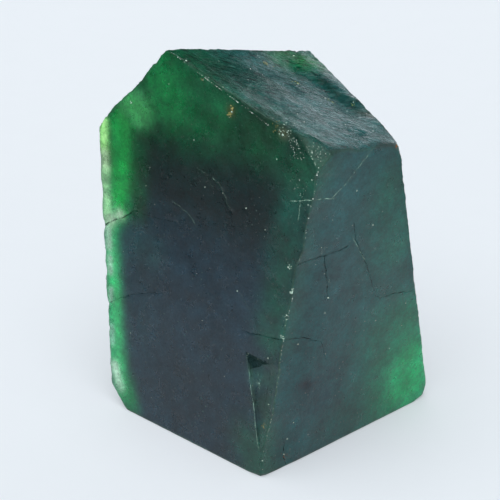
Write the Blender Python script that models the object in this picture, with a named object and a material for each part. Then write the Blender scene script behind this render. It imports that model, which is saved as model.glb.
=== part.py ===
"""Emerald: one broken piece of green beryl, standing on its flat sawn foot.

Two long sawn faces meet in an upright ridge at the front. The top is an oblique,
rippled fracture with a raised rim at the back right. The back is made of rippled
breaks that close in on the left front face, so the stone ends in a thin scalloped
edge on the left. The frame is in metres, +Z up, the ridge towards -Y, the origin
under the middle of the bounding box.
"""

import math

import bmesh
import bpy
from mathutils import Vector, noise

MM = 0.001
NODE = "emerald_crystal"

# Corners of the stone in millimetres, before the origin is put under its middle.
FRONT_FOOT = Vector((0.67, -6.70, 0.0))
LEFT_FOOT = Vector((-8.40, 1.43, 0.0))
RIGHT_FOOT = Vector((10.84, 2.23, 0.0))
BACK_FOOT = Vector((2.60, 5.20, 0.0))
RIDGE_TOP = Vector((3.82, -5.49, 20.15))
LEFT_PEAK = Vector((-4.81, 2.84, 23.12))
LEFT_SHOULDER = Vector((-8.94, 5.33, 17.05))
RIGHT_SHOULDER = Vector((8.48, -1.32, 19.19))
BACK_PEAK = Vector((3.55, 9.60, 19.70))

# Width of the stone's thin side behind the left foot and behind the right foot.
LEFT_FOOT_WIDTH = 0.20
LEFT_SHOULDER_WIDTH = 0.30
RIGHT_FOOT_WIDTH = 0.60

# Broken corners: height up the edge, then width along the foot.
LEFT_CORNER_HEIGHT = 1.35
LEFT_CORNER_WIDTH = 1.25
RIGHT_CORNER_CUTS = ((0.38, 1.15), (0.85, 0.52))

# Small worn facet where the ridge meets the top.
RIDGE_CHIP_LEFT = Vector((2.64, -4.18, 21.40))
RIDGE_CHIP_RIGHT = Vector((4.96, -4.53, 20.63))
RIDGE_CHIP_FOOT = Vector((3.72, -5.52, 19.76))
RIDGE_CHIP_BLOCK = 6.0

# Long flake scar low on the ridge, in the left front face: its outline on that face,
# then points under the face where its floor is deepest, each with its depth.
FLAKE_OUTLINE = (
    Vector((-0.27, -4.40, 7.30)),
    Vector((1.90, -6.35, 7.27)),
    Vector((0.76, -6.47, 1.54)),
)
FLAKE_FLOOR = (
    (Vector((0.00, -4.71, 6.92)), 0.20),
    (Vector((0.69, -5.36, 6.78)), 0.27),
    (Vector((1.60, -6.18, 6.73)), 0.12),
)
FLAKE_LIFT = 3.0

EDGE_RADIUS = 0.11
EDGE_SEGMENTS = 2
BLOCK_SIZE = 80.0
BREAK_ALLOWANCE = 0.9
WELD = 0.004

# Rippled fractures.
TOP_CELL = 0.38
TOP_HALF_LENGTH = 11.5
TOP_HALF_WIDTH = 9.5
TOP_SLAB = 9.0
BACK_CELL = 0.62
BACK_HALF_LENGTH = 17.0
BACK_HALF_WIDTH = 9.0
BACK_SLAB = 14.0

# Raised rim of the top, as two points on its inner line, and its rise.
RIM_START = Vector((1.35, 8.00, 20.5))
RIM_END = Vector((7.35, 1.20, 19.3))
RIM_RISE = 0.36
RIM_SLOPE_WIDTH = 0.46
RIM_REACH = 5.0
RIM_FADE_START = 6.8
RIM_FADE_LENGTH = 2.8
RIM_WANDER = 0.25
RIM_WANDER_SIZE = 1.7

# Relief of the top. Waves along the ridge line: pitch, height, share of the bend, phase.
TOP_WAVES = (
    (2.6, 0.075, 1.0, 0.0),
    (1.45, 0.045, 1.6, 1.0),
)
TOP_BEND = 0.9
TOP_BEND_SIZE = 6.0
TOP_LUMP_HEIGHT = 0.10
TOP_LUMP_SIZE = 3.2
# Shallow dips in the top: middle, width, depth.
TOP_DIPS = (
    (Vector((0.2, -2.0, 21.6)), 3.2, 0.16),
    (Vector((6.0, -3.6, 20.0)), 1.6, 0.16),
)
# The relief dies down towards the straight crest between the left and back peaks.
CREST_FADE = 1.9
CREST_SHARE = 0.15

# Relief of the back breaks: pairs of lump height and lump size.
BACK_LEFT_LUMPS = ((0.20, 4.5), (0.09, 1.9))
BACK_RIGHT_LUMPS = ((0.24, 4.2), (0.08, 1.7))
BACK_SLOPE_LUMPS = ((0.096, 3.0), (0.048, 1.3))
# Ripples run round these points: focus, pitch, depth.
BACK_LEFT_RIPPLES = (Vector((-9.5, 4.0, 8.0)), 2.6, 0.16)
BACK_RIGHT_RIPPLES = (Vector((3.0, 9.5, 21.0)), 3.1, 0.22)
RIPPLE_FADE = 14.0
RIPPLE_WANDER = 0.5
RIPPLE_WANDER_SIZE = 3.0
BACK_RIGHT_SET_BACK = 0.05
# The back left break is calm along the thin left edge.
EDGE_CALM_X = -8.9
EDGE_CALM_WIDTH = 2.5
EDGE_CALM_SHARE = 0.25

# Hollow broken out behind the left edge; above the step it is wider.
HOLLOW_BOTTOM = -1.5
HOLLOW_TOP = 18.2
HOLLOW_STEP = 11.1
HOLLOW_STEP_HEIGHT = 1.1
HOLLOW_TAPER = 4.2
HOLLOW_RING_PITCH = 0.34
HOLLOW_SIDES = 28
HOLLOW_RADIUS = 1.35
HOLLOW_RADIUS_ABOVE = 2.75
HOLLOW_WALL = 0.13
HOLLOW_WALL_ABOVE = 0.34
HOLLOW_OFFSET = 0.30
HOLLOW_OFFSET_ABOVE = 1.05
HOLLOW_RADIUS_WANDER = 0.16
HOLLOW_RADIUS_WANDER_SIZE = 2.4
# Scallops of the wall between the hollow and the left face: depth and length.
SCALLOPS = ((0.17, 1.35), (0.05, 0.6))

# Bowls of the back breaks: x, z, size, depth.
LEFT_BOWLS = (
    (-1.5, 13.2, 5.4, 1.15),
    (-4.6, 5.2, 4.6, 0.80),
    (1.6, 3.6, 3.4, 0.60),
)
RIGHT_BOWLS = (
    (6.3, 12.4, 5.6, 1.00),
    (5.0, 4.8, 3.9, 0.70),
    (8.8, 6.0, 2.6, 0.45),
)
BOWL_OUTLINE_WANDER = 0.16
BOWL_RING_DEPTH = 0.07
BOWL_RING_TURNS = 9.0

SHARP_EDGE = math.radians(24.0)


def clear_scene():
    for obj in list(bpy.data.objects):
        bpy.data.objects.remove(obj, do_unlink=True)


def plane_through(a, b, c, outward):
    """Plane through three points, its normal turned to the outward side."""
    normal = (b - a).cross(c - a).normalized()
    if normal.dot(outward) < 0.0:
        normal.negate()
    return a.copy(), normal


def smooth_step(value):
    value = min(1.0, max(0.0, value))
    return value * value * (3.0 - 2.0 * value)


def lumps(x, y, size, seed):
    """Gentle random relief between -1 and 1 with lumps of the given size."""
    return noise.noise(Vector((x / size, y / size, seed * 3.7)))


BEHIND = Vector((0.0, 1.0, 0.0))
FRONT = Vector((0.0, -1.0, 0.0))
LEFT = Vector((-1.0, 0.0, 0.0))
RIGHT = Vector((1.0, 0.0, 0.0))
UP = Vector((0.0, 0.0, 1.0))

LEFT_BACK = LEFT_FOOT + Vector((0.08, LEFT_FOOT_WIDTH, 0.0))
RIGHT_BACK = RIGHT_FOOT + Vector((-0.10, RIGHT_FOOT_WIDTH, 0.0))
LEFT_FACE = plane_through(FRONT_FOOT, LEFT_FOOT, RIDGE_TOP, FRONT)
RIGHT_FACE = plane_through(FRONT_FOOT, RIGHT_FOOT, RIDGE_TOP, FRONT)
LEFT_SIDE = plane_through(LEFT_FOOT, LEFT_SHOULDER, LEFT_SHOULDER + BEHIND, LEFT)
RIGHT_SIDE = plane_through(RIGHT_FOOT, RIGHT_SHOULDER, BACK_PEAK, RIGHT)
TOP = plane_through(LEFT_PEAK, BACK_PEAK, RIGHT_SHOULDER, UP)
BACK_SLOPE = plane_through(LEFT_SHOULDER, LEFT_PEAK, BACK_PEAK, BEHIND)
SHOULDER_BACK = LEFT_SHOULDER + Vector((0.0, LEFT_SHOULDER_WIDTH, 0.0))
BACK_LEFT = plane_through(LEFT_BACK, SHOULDER_BACK, BACK_FOOT, BEHIND)
BACK_RIGHT = plane_through(RIGHT_BACK, BACK_FOOT, BACK_PEAK, BEHIND)


def cut(mesh, plane):
    """Remove what lies on the outward side of the plane and close the hole."""
    origin, normal = plane
    geometry = mesh.verts[:] + mesh.edges[:] + mesh.faces[:]
    result = bmesh.ops.bisect_plane(
        mesh, geom=geometry, dist=1e-6, plane_co=origin, plane_no=normal, clear_outer=True
    )
    rim = [e for e in result["geom_cut"] if isinstance(e, bmesh.types.BMEdge)]
    if rim:
        bmesh.ops.contextual_create(mesh, geom=rim)


def sawn_block():
    """The sawn and natural faces, with their edges worn round."""
    mesh = bmesh.new()
    bmesh.ops.create_cube(mesh, size=BLOCK_SIZE)
    cut(mesh, (Vector((0.0, 0.0, 0.0)), -UP))
    cut(mesh, LEFT_FACE)
    cut(mesh, RIGHT_FACE)
    cut(mesh, LEFT_SIDE)
    cut(mesh, RIGHT_SIDE)
    along_left = (FRONT_FOOT - LEFT_FOOT).normalized()
    left_edge = (LEFT_SHOULDER - LEFT_FOOT).normalized()
    corner_top = LEFT_FOOT + left_edge * LEFT_CORNER_HEIGHT
    corner_foot = LEFT_FOOT + along_left * LEFT_CORNER_WIDTH
    cut(mesh, plane_through(corner_top, corner_foot, corner_foot + BEHIND, LEFT))
    along_right = (FRONT_FOOT - RIGHT_FOOT).normalized()
    right_edge = (RIGHT_SHOULDER - RIGHT_FOOT).normalized()
    for height, width in RIGHT_CORNER_CUTS:
        corner_top = RIGHT_FOOT + right_edge * height
        corner_foot = RIGHT_FOOT + along_right * width
        cut(mesh, plane_through(corner_top, corner_foot, corner_foot + BEHIND, RIGHT))
    bmesh.ops.remove_doubles(mesh, verts=mesh.verts[:], dist=1e-4)
    bmesh.ops.recalc_face_normals(mesh, faces=mesh.faces[:])
    bmesh.ops.bevel(
        mesh,
        geom=mesh.edges[:],
        offset=EDGE_RADIUS,
        segments=EDGE_SEGMENTS,
        profile=0.5,
        affect="EDGES",
        clamp_overlap=True,
    )
    for origin, normal in (TOP, BACK_LEFT, BACK_RIGHT, BACK_SLOPE):
        cut(mesh, (origin + normal * BREAK_ALLOWANCE, normal))
    return mesh


def add_object(name, mesh):
    """Put a bmesh into the scene as an object, still in millimetres."""
    data = bpy.data.meshes.new(name)
    mesh.to_mesh(data)
    mesh.free()
    obj = bpy.data.objects.new(name, data)
    bpy.context.scene.collection.objects.link(obj)
    return obj


def fracture(name, plane, centre, along, half_length, half_width, cell, slab, relief):
    """Slab whose inner side is a relief over the plane; it cuts a rippled fracture."""
    normal = plane[1]
    along = (along - normal * along.dot(normal)).normalized()
    across = normal.cross(along)
    columns = int(2.0 * half_length / cell)
    rows = int(2.0 * half_width / cell)
    mesh = bmesh.new()
    inner = []
    outer = []
    for i in range(columns + 1):
        s = -half_length + 2.0 * half_length * i / columns
        inner_line = []
        outer_line = []
        for j in range(rows + 1):
            t = -half_width + 2.0 * half_width * j / rows
            flat = centre + along * s + across * t
            inner_line.append(mesh.verts.new(flat + normal * relief(flat)))
            if i in (0, columns) or j in (0, rows):
                outer_line.append(mesh.verts.new(flat + normal * slab))
            else:
                outer_line.append(None)
        inner.append(inner_line)
        outer.append(outer_line)
    for i in range(columns):
        for j in range(rows):
            square = (inner[i][j], inner[i + 1][j], inner[i + 1][j + 1], inner[i][j + 1])
            mesh.faces.new(square)
    rim_inner = [inner[i][0] for i in range(columns)]
    rim_inner += [inner[columns][j] for j in range(rows)]
    rim_inner += [inner[i][rows] for i in range(columns, 0, -1)]
    rim_inner += [inner[0][j] for j in range(rows, 0, -1)]
    rim_outer = [outer[i][0] for i in range(columns)]
    rim_outer += [outer[columns][j] for j in range(rows)]
    rim_outer += [outer[i][rows] for i in range(columns, 0, -1)]
    rim_outer += [outer[0][j] for j in range(rows, 0, -1)]
    count = len(rim_inner)
    for k in range(count):
        n = (k + 1) % count
        mesh.faces.new((rim_inner[k], rim_outer[k], rim_outer[n], rim_inner[n]))
    mesh.faces.new(rim_outer)
    bmesh.ops.recalc_face_normals(mesh, faces=mesh.faces[:])
    return add_object(name, mesh)


def lump_layers(x, y, layers, seed):
    """Sum of lumps of several heights and sizes."""
    return sum(height * lumps(x, y, size, seed + k) for k, (height, size) in enumerate(layers))


def crest_share(p):
    """Share of the relief that is left near the straight crest at the back of the top."""
    crest = (BACK_PEAK - LEFT_PEAK).normalized()
    distance = abs((p - LEFT_PEAK).dot(TOP[1].cross(crest)))
    return CREST_SHARE + (1.0 - CREST_SHARE) * smooth_step(distance / CREST_FADE)


def top_relief(p):
    """Height of the top over its plane: the rim, ripples along the ridge line, dips."""
    inner_line = (RIM_END - RIM_START).normalized()
    over = p - RIM_START
    across = over.dot(Vector((-inner_line.y, inner_line.x, 0.0)).normalized())
    wander = RIM_WANDER * lumps(over.dot(inner_line), 0.0, RIM_WANDER_SIZE, 1)
    rim = smooth_step((across + wander) / RIM_SLOPE_WIDTH)
    floor_share = smooth_step(1.0 + (across + wander) / RIM_REACH)
    rise = RIM_RISE * (1.0 - smooth_step((over.dot(inner_line) - RIM_FADE_START) / RIM_FADE_LENGTH))
    height = -rise * floor_share * (1.0 - rim)
    bend = TOP_BEND * lumps(p.x, p.y, TOP_BEND_SIZE, 2)
    for pitch, wave_height, bend_share, phase in TOP_WAVES:
        height += wave_height * math.sin(2.0 * math.pi * (across + bend_share * bend) / pitch + phase)
    height += TOP_LUMP_HEIGHT * lumps(p.x, p.y, TOP_LUMP_SIZE, 3)
    for middle, width, depth in TOP_DIPS:
        height -= depth * math.exp(-(((p - middle).length / width) ** 2))
    return height * crest_share(p)


def ripples(p, focus, pitch, depth):
    """Conchoidal ripples: rounded rings about a focus, fading with distance."""
    reach = (p - focus).length
    wander = RIPPLE_WANDER * lumps(p.x, p.z, RIPPLE_WANDER_SIZE, 4)
    wave = abs(math.sin(math.pi * (reach + wander) / pitch))
    return -depth * (1.0 - wave) * math.exp(-reach / RIPPLE_FADE)


def bowls(p, places, seed):
    """Shell-shaped hollows with uneven outlines; where they overlap the deeper wins."""
    deepest = 0.0
    for x, z, size, depth in places:
        reach = math.hypot(p.x - x, p.z - z) / size
        reach += BOWL_OUTLINE_WANDER * lumps(p.x, p.z, 0.45 * size, seed)
        if reach < 1.0:
            rings = BOWL_RING_DEPTH * depth * math.sin(BOWL_RING_TURNS * reach * reach)
            deepest = min(deepest, -depth * (1.0 - reach * reach) + rings * (1.0 - reach))
    return deepest


def back_left_relief(p):
    height = lump_layers(p.x, p.z, BACK_LEFT_LUMPS, 5)
    height += ripples(p, *BACK_LEFT_RIPPLES)
    height += bowls(p, LEFT_BOWLS, 14)
    inner = smooth_step((p.x - EDGE_CALM_X) / EDGE_CALM_WIDTH)
    return height * (EDGE_CALM_SHARE + (1.0 - EDGE_CALM_SHARE) * inner)


def back_right_relief(p):
    height = lump_layers(p.x, p.z, BACK_RIGHT_LUMPS, 7)
    height += ripples(p, *BACK_RIGHT_RIPPLES)
    height += bowls(p, RIGHT_BOWLS, 15)
    return height - BACK_RIGHT_SET_BACK


def slope_relief(p):
    return lump_layers(p.x, p.y, BACK_SLOPE_LUMPS, 9) * crest_share(p)


def flake_cutter():
    """Wedge that lifts a long thin flake off the ridge, under a slanted upper riser."""
    outward = LEFT_FACE[1]
    deep = [p - outward * depth for p, depth in FLAKE_FLOOR]
    lifted = [p + outward * FLAKE_LIFT for p in FLAKE_OUTLINE]
    mesh = bmesh.new()
    corners = [mesh.verts.new(p) for p in list(FLAKE_OUTLINE) + deep + lifted]
    bmesh.ops.convex_hull(mesh, input=corners)
    bmesh.ops.recalc_face_normals(mesh, faces=mesh.faces[:])
    return add_object("cut_flake", mesh)


def ridge_chip_cutter():
    """Block that takes the corner off where the ridge meets the top."""
    origin, normal = plane_through(
        RIDGE_CHIP_LEFT, RIDGE_CHIP_RIGHT, RIDGE_CHIP_FOOT, LEFT_FACE[1] + RIGHT_FACE[1] + UP
    )
    mesh = bmesh.new()
    bmesh.ops.create_cube(mesh, size=RIDGE_CHIP_BLOCK)
    turn = UP.rotation_difference(normal).to_matrix()
    bmesh.ops.rotate(mesh, cent=(0.0, 0.0, 0.0), matrix=turn, verts=mesh.verts[:])
    middle = (RIDGE_CHIP_LEFT + RIDGE_CHIP_RIGHT + RIDGE_CHIP_FOOT) / 3.0
    offset = middle + normal * RIDGE_CHIP_BLOCK / 2.0
    bmesh.ops.translate(mesh, vec=offset, verts=mesh.verts[:])
    return add_object("cut_ridge_chip", mesh)


def hollow_cutter():
    """Wavy tube behind the left edge; it thins the edge and scallops it."""
    edge_run = (LEFT_SHOULDER - LEFT_FOOT) / LEFT_SHOULDER.z
    into = -LEFT_FACE[1]
    inward = edge_run.normalized().cross(into)
    if inward.x < 0.0:
        inward.negate()
    rings = int((HOLLOW_TOP - HOLLOW_BOTTOM) / HOLLOW_RING_PITCH)
    mesh = bmesh.new()
    loops = []
    for i in range(rings + 1):
        z = HOLLOW_BOTTOM + (HOLLOW_TOP - HOLLOW_BOTTOM) * i / rings
        above = smooth_step((z - HOLLOW_STEP) / HOLLOW_STEP_HEIGHT)
        closing = max(0.0, (z - HOLLOW_TOP) / HOLLOW_TAPER + 1.0)
        radius = HOLLOW_RADIUS + (HOLLOW_RADIUS_ABOVE - HOLLOW_RADIUS) * above
        radius *= math.sqrt(max(0.01, 1.0 - closing * closing))
        radius *= 1.0 + HOLLOW_RADIUS_WANDER * lumps(z, 0.0, HOLLOW_RADIUS_WANDER_SIZE, 11)
        wall = HOLLOW_WALL + (HOLLOW_WALL_ABOVE - HOLLOW_WALL) * above
        wall += lump_layers(z, 5.0, SCALLOPS, 12)
        offset = HOLLOW_OFFSET + (HOLLOW_OFFSET_ABOVE - HOLLOW_OFFSET) * above
        edge = LEFT_FOOT + edge_run * z
        centre = edge + into * (radius + wall) + inward * offset
        loop = []
        for k in range(HOLLOW_SIDES):
            turn = 2.0 * math.pi * k / HOLLOW_SIDES
            spoke = into * math.cos(turn) + inward * math.sin(turn)
            loop.append(mesh.verts.new(centre + spoke * radius))
        loops.append(loop)
    for low, high in zip(loops, loops[1:]):
        for k in range(HOLLOW_SIDES):
            n = (k + 1) % HOLLOW_SIDES
            mesh.faces.new((low[k], low[n], high[n], high[k]))
    mesh.faces.new(loops[0])
    mesh.faces.new(loops[-1])
    bmesh.ops.recalc_face_normals(mesh, faces=mesh.faces[:])
    return add_object("cut_hollow", mesh)


def subtract(body, cutters):
    for cutter in cutters:
        cutter.hide_render = True
        cutter.display_type = "WIRE"
        step = body.modifiers.new(cutter.name, "BOOLEAN")
        step.operation = "DIFFERENCE"
        step.solver = "EXACT"
        step.object = cutter
    graph = bpy.context.evaluated_depsgraph_get()
    data = bpy.data.meshes.new_from_object(body.evaluated_get(graph))
    body.modifiers.clear()
    body.data = data
    for cutter in cutters:
        bpy.data.objects.remove(cutter, do_unlink=True)


def finish_mesh(body):
    """Triangles only, no slivers, in metres, origin under the middle of the box."""
    mesh = bmesh.new()
    mesh.from_mesh(body.data)
    bmesh.ops.remove_doubles(mesh, verts=mesh.verts[:], dist=WELD)
    bmesh.ops.dissolve_degenerate(mesh, edges=mesh.edges[:], dist=WELD)
    bmesh.ops.triangulate(mesh, faces=mesh.faces[:])
    low = Vector(tuple(min(v.co[k] for v in mesh.verts) for k in range(3)))
    high = Vector(tuple(max(v.co[k] for v in mesh.verts) for k in range(3)))
    middle = (low + high) / 2.0
    shift = Vector((-middle.x, -middle.y, -low.z))
    bmesh.ops.translate(mesh, vec=shift, verts=mesh.verts[:])
    bmesh.ops.scale(mesh, vec=(MM, MM, MM), verts=mesh.verts[:])
    for face in mesh.faces:
        face.smooth = True
    for edge in mesh.edges:
        if len(edge.link_faces) == 2 and edge.calc_face_angle() > SHARP_EDGE:
            edge.smooth = False
    mesh.to_mesh(body.data)
    mesh.free()
    return shift


def emerald_material():
    material = bpy.data.materials.new("emerald_green")
    material.use_nodes = True
    shader = material.node_tree.nodes["Principled BSDF"]
    shader.inputs["Base Color"].default_value = (0.020, 0.105, 0.060, 1.0)
    shader.inputs["Roughness"].default_value = 0.38
    shader.inputs["Metallic"].default_value = 0.0
    shader.inputs["IOR"].default_value = 1.58
    material.diffuse_color = (0.020, 0.105, 0.060, 1.0)
    return material


def build():
    clear_scene()
    body = add_object(NODE, sawn_block())
    ridge_line = RIDGE_TOP - LEFT_PEAK
    top_middle = (LEFT_PEAK + BACK_PEAK + RIGHT_SHOULDER + RIDGE_TOP) / 4.0
    top_middle = top_middle - TOP[1] * (top_middle - TOP[0]).dot(TOP[1])
    back_left_middle = (LEFT_BACK + BACK_FOOT + BACK_PEAK + LEFT_SHOULDER) / 4.0
    back_left_middle -= BACK_LEFT[1] * (back_left_middle - BACK_LEFT[0]).dot(BACK_LEFT[1])
    back_right_middle = (RIGHT_BACK + BACK_FOOT + BACK_PEAK + RIGHT_SHOULDER) / 4.0
    back_right_middle -= BACK_RIGHT[1] * (back_right_middle - BACK_RIGHT[0]).dot(BACK_RIGHT[1])
    slope_middle = (LEFT_SHOULDER + LEFT_PEAK + BACK_PEAK) / 3.0
    cutters = [
        fracture(
            "cut_back_right", BACK_RIGHT, back_right_middle, UP,
            BACK_HALF_LENGTH, BACK_HALF_WIDTH, BACK_CELL, BACK_SLAB, back_right_relief,
        ),
        fracture(
            "cut_top", TOP, top_middle, ridge_line,
            TOP_HALF_LENGTH, TOP_HALF_WIDTH, TOP_CELL, TOP_SLAB, top_relief,
        ),
        fracture(
            "cut_back_left", BACK_LEFT, back_left_middle, UP,
            BACK_HALF_LENGTH, BACK_HALF_WIDTH, BACK_CELL, BACK_SLAB, back_left_relief,
        ),
        fracture(
            "cut_back_slope", BACK_SLOPE, slope_middle, RIGHT,
            TOP_HALF_LENGTH, TOP_HALF_WIDTH, BACK_CELL, TOP_SLAB, slope_relief,
        ),
        flake_cutter(),
        ridge_chip_cutter(),
        hollow_cutter(),
    ]
    subtract(body, cutters)
    finish_mesh(body)
    body.data.materials.clear()
    body.data.materials.append(emerald_material())


build()
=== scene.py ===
"""Looks of the emerald: see-through green beryl with frosted sawn faces.

The stone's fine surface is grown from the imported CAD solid. Its flat faces are cut into a
fine grid, its fractures are smoothed and rippled, and its edges are worn. Cracks and pits
are cut into the mesh, healed veils are sealed in the stone, and grains sit in its pits. All
sizes are in millimetres until a mesh is finished.
"""

import math
import random
from types import SimpleNamespace

import bmesh
import bpy
import numpy as np
from mathutils import Matrix, Vector, noise


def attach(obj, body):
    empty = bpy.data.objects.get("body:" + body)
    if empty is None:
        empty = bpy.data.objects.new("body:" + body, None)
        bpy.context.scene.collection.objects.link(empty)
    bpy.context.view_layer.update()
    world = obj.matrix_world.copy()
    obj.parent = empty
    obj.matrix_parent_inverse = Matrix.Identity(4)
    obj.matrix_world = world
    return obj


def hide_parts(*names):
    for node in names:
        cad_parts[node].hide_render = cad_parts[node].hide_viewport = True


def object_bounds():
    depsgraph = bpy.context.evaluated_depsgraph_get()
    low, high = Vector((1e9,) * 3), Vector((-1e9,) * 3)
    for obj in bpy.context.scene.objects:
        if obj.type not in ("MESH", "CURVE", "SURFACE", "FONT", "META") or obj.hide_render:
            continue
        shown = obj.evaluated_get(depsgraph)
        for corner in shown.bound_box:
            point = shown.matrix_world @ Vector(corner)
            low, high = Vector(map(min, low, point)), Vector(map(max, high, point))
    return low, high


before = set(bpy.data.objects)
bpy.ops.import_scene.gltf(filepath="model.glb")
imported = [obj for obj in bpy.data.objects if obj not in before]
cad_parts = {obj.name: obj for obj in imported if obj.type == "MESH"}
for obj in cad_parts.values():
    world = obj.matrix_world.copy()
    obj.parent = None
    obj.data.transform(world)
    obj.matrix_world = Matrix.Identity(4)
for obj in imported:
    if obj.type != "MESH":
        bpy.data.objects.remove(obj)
CAD_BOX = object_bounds()

MM = 0.001
BODY = "root"
NODE = "emerald_crystal"
UP = Vector((0.0, 0.0, 1.0))

# The stone's corners are named as in the part's source; its frame starts at this point.
ORIGIN = Vector((0.8812, 1.4946, 0.0))


def corner(x, y, z):
    return Vector((x, y, z)) - ORIGIN


FRONT_FOOT = corner(0.67, -6.7, 0.0)
LEFT_FOOT = corner(-8.4, 1.43, 0.0)
RIGHT_FOOT = corner(10.84, 2.23, 0.0)
RIDGE_TOP = corner(3.82, -5.49, 20.15)
LEFT_PEAK = corner(-4.81, 2.84, 23.12)
LEFT_SHOULDER = corner(-8.94, 5.33, 17.05)
RIGHT_SHOULDER = corner(8.48, -1.32, 19.19)
BACK_PEAK = corner(3.55, 9.6, 19.7)

# Camera.
LENS = 200.0
SENSOR = 36.0
PICTURE = 500.0
ELEVATION = math.radians(30.0)
PIXELS_PER_MM = 17.2
TARGET = corner(0.0, 0.0, 11.5)
PIXELS_OF_LENS = LENS / SENSOR * PICTURE
DISTANCE = PIXELS_OF_LENS / PIXELS_PER_MM
LOOK = Vector((0.0, math.cos(ELEVATION), -math.sin(ELEVATION)))
LOOK_UP = Vector((0.0, math.sin(ELEVATION), math.cos(ELEVATION)))
EYE = TARGET - LOOK * DISTANCE


def face_through(a, b, c, outward):
    """Point and outward normal of the flat face through three corners."""
    normal = (b - a).cross(c - a).normalized()
    if normal.dot(outward) < 0.0:
        normal.negate()
    return a, normal


# The flat faces, each as a point on it and its outward normal.
LEFT = face_through(FRONT_FOOT, LEFT_FOOT, RIDGE_TOP, -LOOK)
RIGHT = face_through(FRONT_FOOT, RIGHT_FOOT, RIDGE_TOP, -LOOK)
TOP = face_through(LEFT_PEAK, BACK_PEAK, RIGHT_SHOULDER, UP)
SIDE = face_through(RIGHT_FOOT, RIGHT_SHOULDER, BACK_PEAK, Vector((1.0, 0.0, 0.0)))


def seen_on(face, column, row):
    """Where the sight line through a point of the picture meets a face."""
    half = PICTURE / 2.0
    sight = LOOK * PIXELS_OF_LENS + Vector((column - half, 0.0, 0.0)) + LOOK_UP * (half - row)
    start, normal = face
    return EYE + sight * ((start - EYE).dot(normal) / sight.dot(normal))


# ---------------------------------------------------------------- marks on the faces

# Open cracks, as picture points on the face they cross: half width, depth, points.
LEFT_CRACKS = (
    (0.085, 0.08, ((102, 226), (114, 220), (122, 218), (128, 214), (134.6, 210))),
    (0.025, 0.012, ((134.6, 210), (148, 216), (175, 222))),
    (0.045, 0.05, ((106, 303), (114, 301), (119, 298), (130, 295), (142, 293), (166, 293))),
    (0.05, 0.055, ((240, 330), (246, 331), (251, 334), (258, 334), (283, 341))),
    (0.04, 0.026, ((210, 175), (220, 185), (227, 203), (232, 210))),
)
RIGHT_CRACKS = (
    (0.055, 0.07, ((300, 268), (313, 261), (322, 257), (331, 254), (340, 250), (348, 246))),
    (0.05, 0.06, ((325, 256), (325, 262), (327, 275), (328, 300))),
    (0.045, 0.045, ((354, 222), (356, 240), (362, 255), (367, 265), (371, 280), (375, 295))),
    (0.05, 0.055, ((375, 295), (380, 298), (395, 293), (412, 291))),
    (0.05, 0.055, ((285, 343), (305, 339.5), (320, 341))),
    (0.04, 0.026, ((320, 341), (322, 345), (326, 360))),
)
TOP_CRACKS = (
    (0.045, 0.03, ((262, 60), (284, 66), (300, 78), (322, 90))),
)

# Edges of the stone. The mesh is made fine beside them, so that it can carry wear.
RIDGE = (FRONT_FOOT, RIDGE_TOP)
LEFT_EDGE = (LEFT_FOOT, LEFT_SHOULDER)
SHOULDER_EDGE = (LEFT_SHOULDER, LEFT_PEAK)
TOP_EDGE = (LEFT_PEAK, RIDGE_TOP)
RIGHT_EDGE = (RIGHT_FOOT, RIGHT_SHOULDER)
WORN_EDGES = (
    RIDGE, LEFT_EDGE, SHOULDER_EDGE, TOP_EDGE, (RIDGE_TOP, RIGHT_SHOULDER), RIGHT_EDGE,
    (RIGHT_SHOULDER, BACK_PEAK),
)

# Pits: picture point, radius and depth.
LEFT_PITS = (
    (231, 112, 0.13, 0.06), (131, 103, 0.12, 0.05), (246, 208, 0.08, 0.04),
    (205, 187, 0.07, 0.03), (265, 230, 0.08, 0.04), (189, 141, 0.09, 0.03),
    (256, 384, 0.12, 0.05), (263, 425, 0.16, 0.06), (237, 291, 0.07, 0.03),
)
RIGHT_PITS = (
    (357, 192, 0.1, 0.05), (383, 213, 0.09, 0.05), (371, 230, 0.14, 0.06),
    (286, 447, 0.22, 0.07), (289, 461, 0.16, 0.06), (294, 423, 0.08, 0.04),
    (306, 385, 0.26, 0.05), (336, 230, 0.08, 0.03),
)
TOP_PITS = (
    (270, 62, 0.14, 0.08), (297, 78, 0.16, 0.08), (327, 94, 0.15, 0.08),
    (353, 101, 0.13, 0.07), (329, 95, 0.1, 0.06), (346, 123, 0.16, 0.09),
    (350, 130, 0.14, 0.08), (362, 134, 0.16, 0.09), (236, 112, 0.1, 0.04),
    (318, 104, 0.18, 0.06), (300, 96, 0.12, 0.05),
)


def line_on(face, places):
    """Broken line on a face through picture points."""
    return [seen_on(face, column, row) for column, row in places]


def by_face(left, right, top):
    """The entries of the three faces' lists, each with its face put first."""
    listed = ((LEFT, left), (RIGHT, right), (TOP, top))
    return [(face, *entry) for face, entries in listed for entry in entries]


CRACKS = [
    (half_width, depth, line_on(face, places))
    for face, half_width, depth, places in by_face(LEFT_CRACKS, RIGHT_CRACKS, TOP_CRACKS)
]

# ---------------------------------------------------------------- the fine surface

# Slices that the flat faces are cut into, and how squarely a face may cross them.
GRID_STEP = 0.3
GRID_LONG_EDGE = 0.95
LEVEL_TILT = 0.75
UPRIGHT_TILT = 0.3
# Lengths that edges are halved down to: plain, at the back, beside cracks and worn edges.
FINE_EDGE = 0.17
BACK_EDGE = 0.26
CRACK_EDGE = 0.055
CRACK_REACH = 0.15
WORN_EDGE = 0.085
WORN_REACH = 0.16
HALVED_OVER = 1.3
HALVING_PASSES = 6
# Faces turned this far down are the foot's, this far to the back are the back's.
FACES_DOWN = -0.9
FACES_BACK = 0.25
# What counts as one point, as flat and as a sliver.
SAME_POINT = 1e-4
SAME_PLANE = math.radians(0.2)
CLOSE_POINTS = 0.012
SHORTEST_EDGE = 0.003
THIN_TRIANGLE = 0.008
THIN_PASSES = 4
MEND_PASSES = 3


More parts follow.
